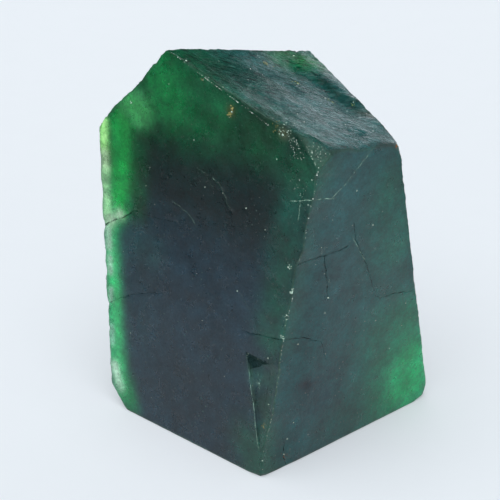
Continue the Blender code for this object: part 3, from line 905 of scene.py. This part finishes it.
# Layers of noise in the skin: size in mm, detail, range used and what it becomes.
CLOUD = (1.6, 5.0, 0.3, 0.7, 0.72, 1.28)
GRAIN = (0.16, 4.0, 0.32, 0.68, 0.68, 1.34, 0.7)
GLOSS = ((0.9, 4.0, 0.3, 0.7, -0.07, 0.07), (0.22, 3.0, 0.35, 0.65, -0.04, 0.04))
WORN_ROUGH = 0.12
# Specks of pale dust: size, the distance at which they end and begin, where they lie.
DUST_SPOTS = (0.42, 0.13, 0.05)
DUSTY = (2.6, 3.0, 0.46, 0.66, 0.0, 0.6)
DUST_COLOUR = (0.12, 0.5, 0.44)
# Painted shade in the cracks: range of the crack mark that is used, what it becomes, and the
# shade's colour.
CRACK_SHADE = (0.2, 0.9, 0.0, 0.6)
CRACK_SHADE_COLOUR = (0.006, 0.014, 0.014)
# Bumps: size, detail and roughness of the noise, and height.
SKIN_BUMPS = ((0.075, 3.0, 0.65, 0.011), (0.26, 4.0, 0.55, 0.02))
TOP_CALM = 0.35
# Fine scratches: stretch and turn of the noise.
SCRATCH_LINES = (((6.0, 6.0, 0.16), (0.35, 0.25, 0.0)), ((0.2, 0.2, 6.0), (0.45, -0.2, 0.0)))
SCRATCH_SIZE, SCRATCH_HEIGHT = 0.1, 0.004
# Fine ripples and short steps of the top: length, pitch and depth of the pattern, the range
# of its noise that is used, and height.
RIPPLE_GRAIN = (
    ((0.9, 0.26, 5.0), 0.4, 0.62, 0.026),
    ((0.34, 0.2, 5.0), 0.56, 0.64, 0.05),
    ((1.2, 0.34, 5.0), 0.48, 0.51, 0.026),
    ((0.55, 0.24, 5.0), 0.6, 0.63, 0.026),
)
# Shade in the hollows of the first of them, and sheen on its crests.
HOLLOWS = (0.45, 0.36, 0.0, 0.7)
HOLLOW_COLOUR = (0.001, 0.02, 0.02)
CRESTS = (0.57, 0.64, 0.0, 0.5)
CREST_COLOUR = (0.15, 0.46, 0.43)
# Two faces that meet more sharply than this aren't shaded as one.
SHARP_BEND = math.radians(60.0)


def stone_material():
    """Frosted green beryl."""
    made = Nodes(bpy.data.materials.new("green_beryl"))
    scatter_and_painted_light, rough = made.painted("scatter_and_painted_light")
    kinds, milk = made.painted("marks")
    crack, wear, top = made.add("SeparateColor", Color=kinds).outputs
    waves = [made.noise(1.0, 3.0, made.place_along(top_axes(), g[0])) for g in RIPPLE_GRAIN]

    shade = made.maths("MULTIPLY", made.layer(*CLOUD), made.layer(*GRAIN))
    colour = made.blend(1.0, scatter_and_painted_light, shade, "MULTIPLY")
    size, end, start = DUST_SPOTS
    specks = made.ramp(made.spots(size), end, start)
    dust = made.maths("MULTIPLY", specks, made.layer(*DUSTY))
    colour = made.blend(dust, colour, DUST_COLOUR)
    # Painted shade in the cracks, then painted shade in the top's hollows and painted sheen on its
    # crests.
    colour = made.blend(made.ramp(crack, *CRACK_SHADE), colour, CRACK_SHADE_COLOUR)
    for used, tint in ((HOLLOWS, HOLLOW_COLOUR), (CRESTS, CREST_COLOUR)):
        share = made.maths("MULTIPLY", made.ramp(waves[0], *used), top)
        colour = made.blend(share, colour, tint)

    for layer in GLOSS:
        rough = made.maths("ADD", rough, made.layer(*layer))
    rough = made.maths("ADD", rough, made.maths("MULTIPLY", wear, WORN_ROUGH))

    calm = made.ramp(top, 0.0, 1.0, 1.0, TOP_CALM)
    normal = None
    for size, detail, rugged, height in SKIN_BUMPS:
        skin = made.noise(size, detail, rough=rugged)
        normal = made.bump(skin, height, calm, below=normal)
    for wave, (_, low, high, height) in zip(waves, RIPPLE_GRAIN):
        ripple = made.maths("MULTIPLY", made.ramp(wave, low, high), top)
        normal = made.bump(ripple, height, below=normal)
    for stretch, turn in SCRATCH_LINES:
        scratch = made.noise(SCRATCH_SIZE, 2.0, made.place(stretch, turn))
        normal = made.bump(made.ramp(scratch, 0.55, 0.8), SCRATCH_HEIGHT, below=normal)

    through = made.ramp(milk, 0.0, 1.0, SEE_THROUGH, MILKY_THROUGH)
    made.shade(
        Base_Color=colour, Roughness=rough, Normal=normal, IOR=IOR,
        Transmission_Weight=through, Specular_IOR_Level=SHINE,
    )
    kept = [1.0 - loss / LOSS[0] for loss in LOSS]
    inside = made.add("VolumeAbsorption", Color=kept, Density=LOSS[0] / MM)
    made.set(made.tree.nodes["Material Output"], Volume=inside.outputs["Volume"])
    return made.owner


def in_scene(name, data):
    """New object in the scene."""
    made = bpy.data.objects.new(name, data)
    bpy.context.scene.collection.objects.link(made)
    return made


def add_piece(name, points, faces, material, smooth=True):
    """Mesh object in the scene from points in millimetres."""
    data = bpy.data.meshes.new(name)
    data.from_pydata((np.asarray(points) * MM).tolist(), [], [list(map(int, f)) for f in faces])
    data.polygons.foreach_set("use_smooth", [smooth] * len(data.polygons))
    data.materials.append(material)
    data.update()
    return in_scene(name, data)


def paint(piece, name, columns):
    """Store four numbers at each point of a piece."""
    layer = piece.data.color_attributes.new(name, "FLOAT_COLOR", "POINT")
    layer.data.foreach_set("color", np.ascontiguousarray(columns, dtype=np.float32).ravel())


def on_stone(stone, place):
    """The point of the stone nearest to a place, and the normal there."""
    _, nearest, normal, _ = stone.closest_point_on_mesh(place * MM)
    return nearest / MM, normal


def make_stone():
    """The stone's visible mesh."""
    grid = fine_mesh(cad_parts[NODE].data)
    surface = Surface(grid)
    grid.free()
    marks = grow_relief(surface)
    points = surface.points
    stone = add_piece("emerald_stone", points, surface.corners, stone_material())
    stone.data.set_sharp_from_angle(angle=SHARP_BEND)
    scatter_and_painted_light = scatter_and_painted_light_colours(points, marks)
    paint(stone, "scatter_and_painted_light", np.column_stack([scatter_and_painted_light[:, :3], roughness_of(marks)]))
    crack = np.clip(marks.crack, 0.0, 1.0)
    paint(stone, "marks", np.column_stack([crack, marks.wear, marks.top, scatter_and_painted_light[:, 3]]))
    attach(stone, BODY)
    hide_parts(NODE)
    return stone


# ---------------------------------------------------------------- sealed in the stone

# Pale healed veils under the faces: face, picture points of the rim with depths in mm,
# share of the veil that is filled.
VEILS = (
    ("veil_upper_left", LEFT, (
        (136, 200, 1.1), (200, 232, 3.0), (285, 170, 2.4), (250, 120, 1.1), (176, 66, 0.8),
        (126, 112, 0.8)), 0.8),
    ("veil_lower_right", RIGHT, (
        (425, 388, 0.3), (416, 290, 1.1), (352, 320, 3.2), (350, 425, 2.4)), 1.0),
)
VEIL_CELLS = 14
VEIL_CLEARANCE = 0.12
# Random shift of a veil along its face's normal: size, and least and added shift.
VEIL_WAVE = (1.4, 0.12, 0.12)
VEIL_GAPS = (1.1, 5.0, 0.3, 0.62, 0.0)
VEIL_TINTS = ((0.82, 0.95, 0.86), (0.95, 0.98, 0.92))


def make_veil(stone, name, face, rim, fill):
    """Milky, slightly wavy sheet with gaps, spanned inside a rim of points."""
    outline = [seen_on(face, column, row) - face[1] * depth for column, row, depth in rim]
    middle = sum(outline, Vector()) / len(outline)
    around = VEIL_CELLS * len(outline)
    on_rim = [
        start.lerp(end, part / VEIL_CELLS)
        for start, end in zip(outline, outline[1:] + outline[:1])
        for part in range(VEIL_CELLS)
    ]
    points = [middle]
    for ring in range(1, VEIL_CELLS + 1):
        points += [middle.lerp(place, ring / VEIL_CELLS) for place in on_rim]
    faces = [(0, 1 + k, 1 + (k + 1) % around) for k in range(around)]
    for first in range(1, 1 + (VEIL_CELLS - 1) * around, around):
        for k in range(around):
            n = (k + 1) % around
            faces.append((first + k, first + around + k, first + around + n, first + n))
    size, least, more = VEIL_WAVE
    points = np.array([p[:] for p in points])
    wave = least + more * lumps(points, size, SEED_VEIL)
    points = [Vector(p) for p in points - np.array(face[1]) * wave[:, None]]
    sealed = []
    for point in points:
        nearest, normal = on_stone(stone, point)
        sealed.append((nearest - point).dot(normal) > VEIL_CLEARANCE)
    faces = [f for f in faces if all(sealed[k] for k in f)]
    made = Nodes(bpy.data.materials.new(name))
    tint = made.blend(made.noise(0.5), *VEIL_TINTS)
    made.shade(Base_Color=tint, Roughness=0.9, Alpha=made.layer(*VEIL_GAPS, fill))
    veil = add_piece(name, points, faces, made.owner)
    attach(veil, BODY)


# Lines drawn on the faces, besides the painted shade in the cracks. Scratches are pale: half
# width in mm and picture points. The two of half width 0.005, along the left face's top edge,
# are a painted highlight.
LEFT_SCRATCHES_AND_EDGE_HIGHLIGHT = (
    (0.012, ((210, 175), (220, 185), (227, 203), (232, 210))),
    (0.024, ((290, 201), (300, 201), (315, 200))),
    (0.022, ((300, 201), (299, 212), (298, 222))),
    (0.016, ((254, 380), (257, 386), (258, 392))),
    (0.016, ((245.5, 356), (248.5, 372), (252.5, 400), (255.5, 430), (259, 452))),
    (0.01, ((255, 372), (257, 382), (256.5, 392))),
    (0.006, ((194, 165), (206, 174), (214, 190))),
    (0.006, ((172, 200), (189, 214), (196, 226))),
    (0.005, ((172, 51.5), (185.7, 61), (196, 71), (209.6, 79), (224, 88.5), (240, 99))),
    (0.005, ((240, 99), (255.8, 110), (266, 117), (279.7, 124.5))),
    (0.006, ((240, 292), (246, 304), (254, 314))),
)
RIGHT_SCRATCHES = (
    (0.022, ((315, 200), (326, 199), (337, 199))),
    (0.018, ((373, 148), (358, 168), (345, 185), (330, 200))),
    (0.012, ((352, 236), (366, 262))),
)
# Painted shade in pits and small cracks of the right face: half width in mm and picture points.
RIGHT_DARK_LINES = (
    (0.03, ((283, 437), (286, 446), (284, 458), (288, 468))),
    (0.03, ((356, 187), (357.5, 191), (357, 197))),
    (0.028, ((383, 211), (384, 216))),
    (0.02, ((370.5, 225), (369.5, 232), (371, 238))),
    (0.02, ((332, 214), (336, 210))),
)
# Painted shade by the flake scar and in small pits of the left face: half width, picture points.
LEFT_DARK_LINES = (
    (0.016, ((247.5, 356), (250.5, 372), (254.5, 400), (257.5, 430), (260.5, 452))),
    (0.02, ((271, 350), (268, 368), (265, 392), (263, 410))),
    (0.02, ((235.5, 289), (238, 293))),
    (0.024, ((243, 295), (246, 300))),
    (0.018, ((257, 148), (262, 152))),
)
# Painted shade on the step at the head of the flake scar, by its three corners in the picture.
FLAKE_STEP = ((245.3, 351.5), (272.5, 364.0), (250.5, 369.5))
PATCH_CELLS = 12
# Painted shade lies in the inner share of a crack's width.
SHADE_SHARE = 0.62
# How the lines wander and swell: size and strength of their random fields.
LINE_WANDER = (0.35, 0.05)
WANDER_STEP = Vector((5.3, 17.1, 9.7))
LINE_SWELL = (0.21, 0.9)
LINE_SEED_STEP = 3.7
# Their mean width, least half width in mm, and how they taper towards their ends.
LINE_WIDTH = 0.75
THINNEST = 0.003
TAPER_FROM, TAPER_STEP = 0.15, 0.3
# Length of their pieces, and height over the stone.
LINE_STEP = 0.09
LINE_LIFT = 0.004
# Noise that lets the overlays fade out in places: size, detail and the range used.
OVERLAY_GAPS = (0.3, 3.0, 0.38, 0.6)


def ribbons(stone, lines):
    """Points and faces of uneven ribbons, lying on the stone along broken lines."""
    points, faces = [], []
    for line_number, (half_width, line) in enumerate(lines):
        seed = line_number * LINE_SEED_STEP
        steps = []
        for start, end in zip(line, line[1:]):
            count = max(1, int((end - start).length / LINE_STEP))
            steps += [start.lerp(end, k / count) for k in range(count)]
        steps.append(line[-1])
        first, last = len(points), len(steps) - 1
        for k, place in enumerate(steps):
            run = steps[min(k + 1, last)] - steps[max(k - 1, 0)]
            size, strength = LINE_WANDER
            at = place / size + Vector((seed, 0.0, 0.0))
            shift = Vector([noise.noise(at + WANDER_STEP * (k + 1)) for k in range(3)])
            nearest, normal = on_stone(stone, place + strength * shift)
            taper = min(1.0, TAPER_FROM + TAPER_STEP * min(k, last - k))
            size, strength = LINE_SWELL
            swell = LINE_WIDTH + strength * noise.noise(place / size + Vector((0.0, seed, 0.0)))
            side = normal.cross(run).normalized() * max(THINNEST, half_width * taper * swell)
            middle = nearest + normal * LINE_LIFT
            points += [middle - side, middle + side]
        faces += [(k, k + 1, k + 3, k + 2) for k in range(first, first + 2 * last, 2)]
    return points, faces


def patch(stone, start, end, other):
    """Points and faces of a three-cornered sheet, lying on the stone."""
    points, faces, cells = [], [], {}
    for i in range(PATCH_CELLS + 1):
        for k in range(PATCH_CELLS + 1 - i):
            place = start + (end - start) * (i / PATCH_CELLS) + (other - start) * (k / PATCH_CELLS)
            nearest, normal = on_stone(stone, place)
            cells[i, k] = len(points)
            points.append(nearest + normal * LINE_LIFT)
    for i, k in cells:
        if (i + 1, k) in cells:
            faces.append((cells[i, k], cells[i + 1, k], cells[i, k + 1]))
        if (i + 1, k + 1) in cells:
            faces.append((cells[i + 1, k], cells[i + 1, k + 1], cells[i, k + 1]))
    return points, faces


def overlay(name, colour, least, most, points, faces):
    """Thin piece that lies on the stone, with a colour and the range of its cover."""
    made = Nodes(bpy.data.materials.new(name))
    cover = made.layer(*OVERLAY_GAPS, least, most)
    made.shade(Base_Color=colour, Roughness=0.8, Alpha=cover, Specular_IOR_Level=0.2)
    points = [(x, y, max(0.0, z)) for x, y, z in points]
    piece = add_piece(name, points, faces, made.owner)
    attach(piece, BODY)


def lines_on(face, listed):
    """Half widths and broken lines in space, from picture points on a face."""
    return [(half_width, line_on(face, places)) for half_width, places in listed]


def make_overlays(stone):
    """Painted shade in cracks, pits and the flake scar; pale scratch marks and a painted edge
    highlight.
    """
    dark = [(half_width * SHADE_SHARE, line) for half_width, _, line in CRACKS]
    dark += lines_on(RIGHT, RIGHT_DARK_LINES) + lines_on(LEFT, LEFT_DARK_LINES)
    pale = lines_on(LEFT, LEFT_SCRATCHES_AND_EDGE_HIGHLIGHT) + lines_on(RIGHT, RIGHT_SCRATCHES)
    flake = line_on(LEFT, FLAKE_STEP)
    overlay("crack_shade_lines", (0.008, 0.022, 0.02), 0.05, 0.72, *ribbons(stone, dark))
    overlay("flake_shade", (0.004, 0.026, 0.024), 0.48, 0.74, *patch(stone, *flake))
    overlay("scratches_and_edge_highlight", (0.34, 0.56, 0.43), 0.3, 0.9, *ribbons(stone, pale))


# Bright mineral grains on the faces: face, picture point, radius in mm.
LEFT_GRAINS = (
    (186, 60, 0.06), (223, 87, 0.05), (283, 135, 0.09), (297, 144, 0.05), (283, 337, 0.05),
    (262, 461, 0.05), (237, 291, 0.06), (268, 358, 0.05), (257, 360, 0.05), (288, 267, 0.06),
    (246, 208, 0.06), (203, 80, 0.05), (267, 405, 0.05), (287, 316, 0.05), (277, 159, 0.05),
    (308, 205, 0.04), (300, 201, 0.04), (312, 180, 0.05), (194, 140, 0.05), (205, 187, 0.05),
    (265, 230, 0.05), (313, 151, 0.05), (292, 293, 0.06), (131, 103, 0.06), (231, 112, 0.09),
)
RIGHT_GRAINS = (
    (294, 423, 0.06), (328, 298, 0.06), (325, 313, 0.05), (373, 225, 0.06), (322, 248, 0.05),
    (300, 346, 0.05), (288, 440, 0.05), (285, 455, 0.05), (357, 191, 0.05), (383, 212, 0.04),
)
TOP_GRAINS = (
    (299, 80, 0.05), (327, 94, 0.04), (353, 101, 0.04), (346, 123, 0.04), (294, 55, 0.05),
    (298, 112, 0.03),
)
WHITE = (0.76, 0.9, 0.8)
PALE = (0.52, 0.7, 0.57)
GOLD = (0.42, 0.36, 0.12)
MOSS = (0.2, 0.25, 0.05)
RUST = (0.3, 0.1, 0.02)
# Bruises and inclusions: face, picture point, spread in mm, number of grains, largest
# radius, colour.
GRAIN_CLUSTERS = (
    (LEFT, 283, 132, 0.42, 34, 0.05, PALE),
    (LEFT, 276, 127, 0.3, 14, 0.045, GOLD),
    (LEFT, 294, 142, 0.4, 16, 0.035, PALE),
    (LEFT, 232, 108, 0.17, 10, 0.06, GOLD),
    (LEFT, 230, 114, 0.15, 12, 0.06, GOLD),
    (LEFT, 298, 152, 0.7, 34, 0.034, WHITE),
    (LEFT, 300, 186, 0.9, 22, 0.026, WHITE),
    (LEFT, 262, 222, 1.6, 26, 0.022, PALE),
    (RIGHT, 318, 148, 0.6, 60, 0.03, PALE),
    (LEFT, 289, 267, 0.22, 10, 0.045, PALE),
    (LEFT, 292, 293, 0.16, 9, 0.06, PALE),
    (LEFT, 286, 318, 0.3, 14, 0.035, PALE),
    (LEFT, 282, 339, 0.16, 12, 0.045, PALE),
    (LEFT, 248, 358, 0.18, 10, 0.035, PALE),
    (RIGHT, 323, 250, 0.3, 18, 0.022, PALE),
    (RIGHT, 327, 284, 0.4, 16, 0.022, PALE),
    (LEFT, 262, 426, 0.22, 14, 0.035, GOLD),
    (LEFT, 256, 384, 0.22, 10, 0.03, PALE),
    (LEFT, 202, 80, 0.16, 8, 0.035, GOLD),
    (RIGHT, 287, 455, 0.38, 26, 0.03, RUST),
    (LEFT, 131, 103, 0.16, 8, 0.04, PALE),
    (RIGHT, 398, 146, 0.16, 14, 0.045, RUST),
    (TOP, 269, 61, 0.28, 16, 0.06, MOSS),
    (TOP, 297, 78, 0.22, 14, 0.06, MOSS),
    (TOP, 332, 96, 0.26, 12, 0.04, MOSS),
    (TOP, 353, 102, 0.2, 10, 0.04, MOSS),
)
# Sizes of the clusters' grains, as shares of the largest.
CLUSTER_SIZES = (0.35, 1.0)
# Grains of the chipped edges, and of the rest above the foot: number, least and added or
# largest radius. Along the left face's top edge the white grains also make a painted highlight.
EDGE_GRAINS, EDGE_LEAST, EDGE_MORE = 116, 0.018, 0.03
EDGE_SPAN = (0.02, 0.99)
CHIPPED_TO = 0.72
SMALL_GRAINS = 90
SMALL_SIZES = (0.018, 0.034)
SMALL_FROM = 1.0
# How far a grain is sunk, as a share of its radius, and how uneven it is.
GRAIN_SINK = 0.45
GRAIN_STRETCH = 0.45
GRAIN_SHADE = (0.08, 2.0, 0.35, 0.65, 0.7, 1.15)


def grain_places(stone):
    """Place, radius and colour of every grain."""
    rng = random.Random(SEED_GRAINS)
    listed = by_face(LEFT_GRAINS, RIGHT_GRAINS, TOP_GRAINS)
    places = [(seen_on(face, column, row), radius, PALE) for face, column, row, radius in listed]
    for face, column, row, spread, count, largest, tint in GRAIN_CLUSTERS:
        middle = seen_on(face, column, row)
        for _ in range(count):
            shift = Vector([rng.gauss(0.0, 0.5 * spread) for _ in range(3)])
            places.append((middle + shift, largest * rng.uniform(*CLUSTER_SIZES), tint))
    edges = (RIDGE, (LEFT_PEAK, LEFT_PEAK.lerp(RIDGE_TOP, CHIPPED_TO)))
    for _ in range(EDGE_GRAINS):
        start, end = rng.choice(edges)
        place = start.lerp(end, rng.uniform(*EDGE_SPAN))
        places.append((place, EDGE_MORE * rng.random() ** 2 + EDGE_LEAST, WHITE))
    faces = [f for f in stone.data.polygons if f.center.z > SMALL_FROM * MM]
    for _ in range(SMALL_GRAINS):
        places.append((rng.choice(faces).center / MM, rng.uniform(*SMALL_SIZES), WHITE))
    return places


def make_grains(stone):
    """Pale and yellowish grains, half sunk in the surface, as one mesh."""
    mesh = bmesh.new()
    tints = []
    for place, radius, tint in grain_places(stone):
        nearest, normal = on_stone(stone, place)
        middle = nearest - normal * radius * GRAIN_SINK
        for vert in bmesh.ops.create_icosphere(mesh, subdivisions=1, radius=radius)["verts"]:
            lump = noise.noise(vert.co / radius * 1.3 + middle * 5.0)
            vert.co = (middle + vert.co * (1.0 + GRAIN_STRETCH * lump)) * MM
            tints.append((*tint, 1.0))
    data = bpy.data.meshes.new("surface_grains")
    mesh.to_mesh(data)
    mesh.free()
    made = Nodes(bpy.data.materials.new("mineral_grain"))
    colour = made.blend(1.0, made.painted("tint")[0], made.layer(*GRAIN_SHADE), "MULTIPLY")
    normal = made.bump(made.noise(0.03), 0.008)
    made.shade(Base_Color=colour, Roughness=0.55, Normal=normal)
    data.materials.append(made.owner)
    grains = in_scene("surface_grains", data)
    paint(grains, "tint", tints)
    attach(grains, BODY)


# ---------------------------------------------------------------- floor, light and camera

FLOOR_COLOUR = (0.785, 0.825, 0.865)
FLOOR_GLOW = 0.38
FIBRE = (2.0, 6.0, 0.3, 0.7, 0.995, 1.005)
BACKDROP = (0.79, 0.845, 0.896)
# The studio's ceiling is dark: where it starts and where it is full.
CEILING = (0.09, 0.095, 0.1)
CEILING_FROM = math.radians(27.0)
CEILING_FULL = math.radians(42.0)
LIGHT_FROM = Vector((-0.08, -0.2, 0.98))
LIGHT_STRENGTH = 2.55
LIGHT_WIDTH = math.radians(65.0)
LIGHT_COLOUR = (0.97, 0.985, 1.0)
# Rectangles: middle and half sides.
FLOOR = ((0.0, 0.0, -0.01), (1500.0, 0.0, 0.0), (0.0, 1500.0, 0.0))
DARK_CARDS = (
    ("dark_card_left", (-40.0, -20.0, 30.0), (0.0, 70.0, 0.0), (0.0, 0.0, 30.0)),
    ("dark_card_right", (34.0, 10.0, 0.3), (10.0, 0.0, 0.0), (0.0, 9.0, 0.0)),
    ("dark_card_back", (-15.0, 20.0, 39.0), (19.3, 0.0, 0.0), (0.0, 0.0, 24.0)),
)
# Bright card behind the stone, which the top reflects.
GLOW_CARD = ((8.6, 20.0, 27.0), (2.6, 0.0, 0.0), (0.0, 0.0, 6.0))
CARD_GLOW = 2.0
CAMERA_CLIP = (0.005, 20.0)


def stage_plane(name, material, middle, across, up):
    """Flat rectangle of the stage from its middle and its two half sides."""
    middle, across, up = Vector(middle), Vector(across), Vector(up)
    corners = (-across - up, across - up, across + up, up - across)
    plane = add_piece(name, [middle + c for c in corners], [(0, 1, 2, 3)], material, smooth=False)
    return plane


def card(name, material, *sides):
    """Card that is seen in the stone's gloss only."""
    made = stage_plane(name, material, *sides)
    made.visible_camera = made.visible_diffuse = False
    made.visible_transmission = made.visible_shadow = False


def make_floor():
    """Pale paper that glows a little."""
    made = Nodes(bpy.data.materials.new("floor_paper"))
    paper = [(1.0 - FLOOR_GLOW) * k for k in FLOOR_COLOUR]
    tint = made.blend(1.0, paper, made.layer(*FIBRE), "MULTIPLY")
    made.shade(Base_Color=tint, Roughness=0.75)
    made.shade(Emission_Color=FLOOR_COLOUR, Emission_Strength=FLOOR_GLOW)
    stage_plane("floor", made.owner, *FLOOR)


def make_cards():
    """Three dark cards and a bright one, which only reflections see."""
    made = Nodes(bpy.data.materials.new("dark_card"))
    made.shade(Base_Color=(0.02, 0.022, 0.025), Roughness=0.9)
    for name, *sides in DARK_CARDS:
        card(name, made.owner, *sides)
    made = Nodes(bpy.data.materials.new("glow_card"))
    made.shade(
        Base_Color=(0.0, 0.0, 0.0), Emission_Color=BACKDROP, Emission_Strength=CARD_GLOW
    )
    card("glow_card", made.owner, *GLOW_CARD)


def make_light():
    """Pale backdrop under a dark ceiling, and soft light from above."""
    made = Nodes(bpy.data.worlds.new("studio"))
    way = made.add("SeparateXYZ", Vector=made.add("TexCoord").outputs["Generated"])
    low, high = math.sin(CEILING_FROM), math.sin(CEILING_FULL)
    height = made.ramp(way.outputs["Z"], low, high, kind="SMOOTHSTEP")
    colour = made.blend(height, BACKDROP, CEILING)
    made.set(made.tree.nodes["Background"], Color=colour)
    bpy.context.scene.world = made.owner

    lamp = bpy.data.lights.new("soft_light", "SUN")
    lamp.angle = LIGHT_WIDTH
    lamp.energy = LIGHT_STRENGTH
    lamp.color = LIGHT_COLOUR
    light = in_scene("soft_light", lamp)
    light.visible_glossy = False
    light.rotation_euler = (-LIGHT_FROM).to_track_quat("-Z", "Y").to_euler()


def make_camera():
    """Camera at the photo's viewpoint."""
    camera = bpy.data.cameras.new("camera")
    camera.lens = LENS
    camera.sensor_width = SENSOR
    camera.clip_start, camera.clip_end = CAMERA_CLIP
    seat = in_scene("camera", camera)
    seat.location = EYE * MM
    seat.rotation_euler = LOOK.to_track_quat("-Z", "Y").to_euler()
    bpy.context.scene.camera = seat


def main():
    stone = make_stone()
    for veil in VEILS:
        make_veil(stone, *veil)
    make_overlays(stone)
    make_grains(stone)
    make_floor()
    make_cards()
    make_light()
    make_camera()
    bpy.context.scene.view_settings.view_transform = "Standard"


main()
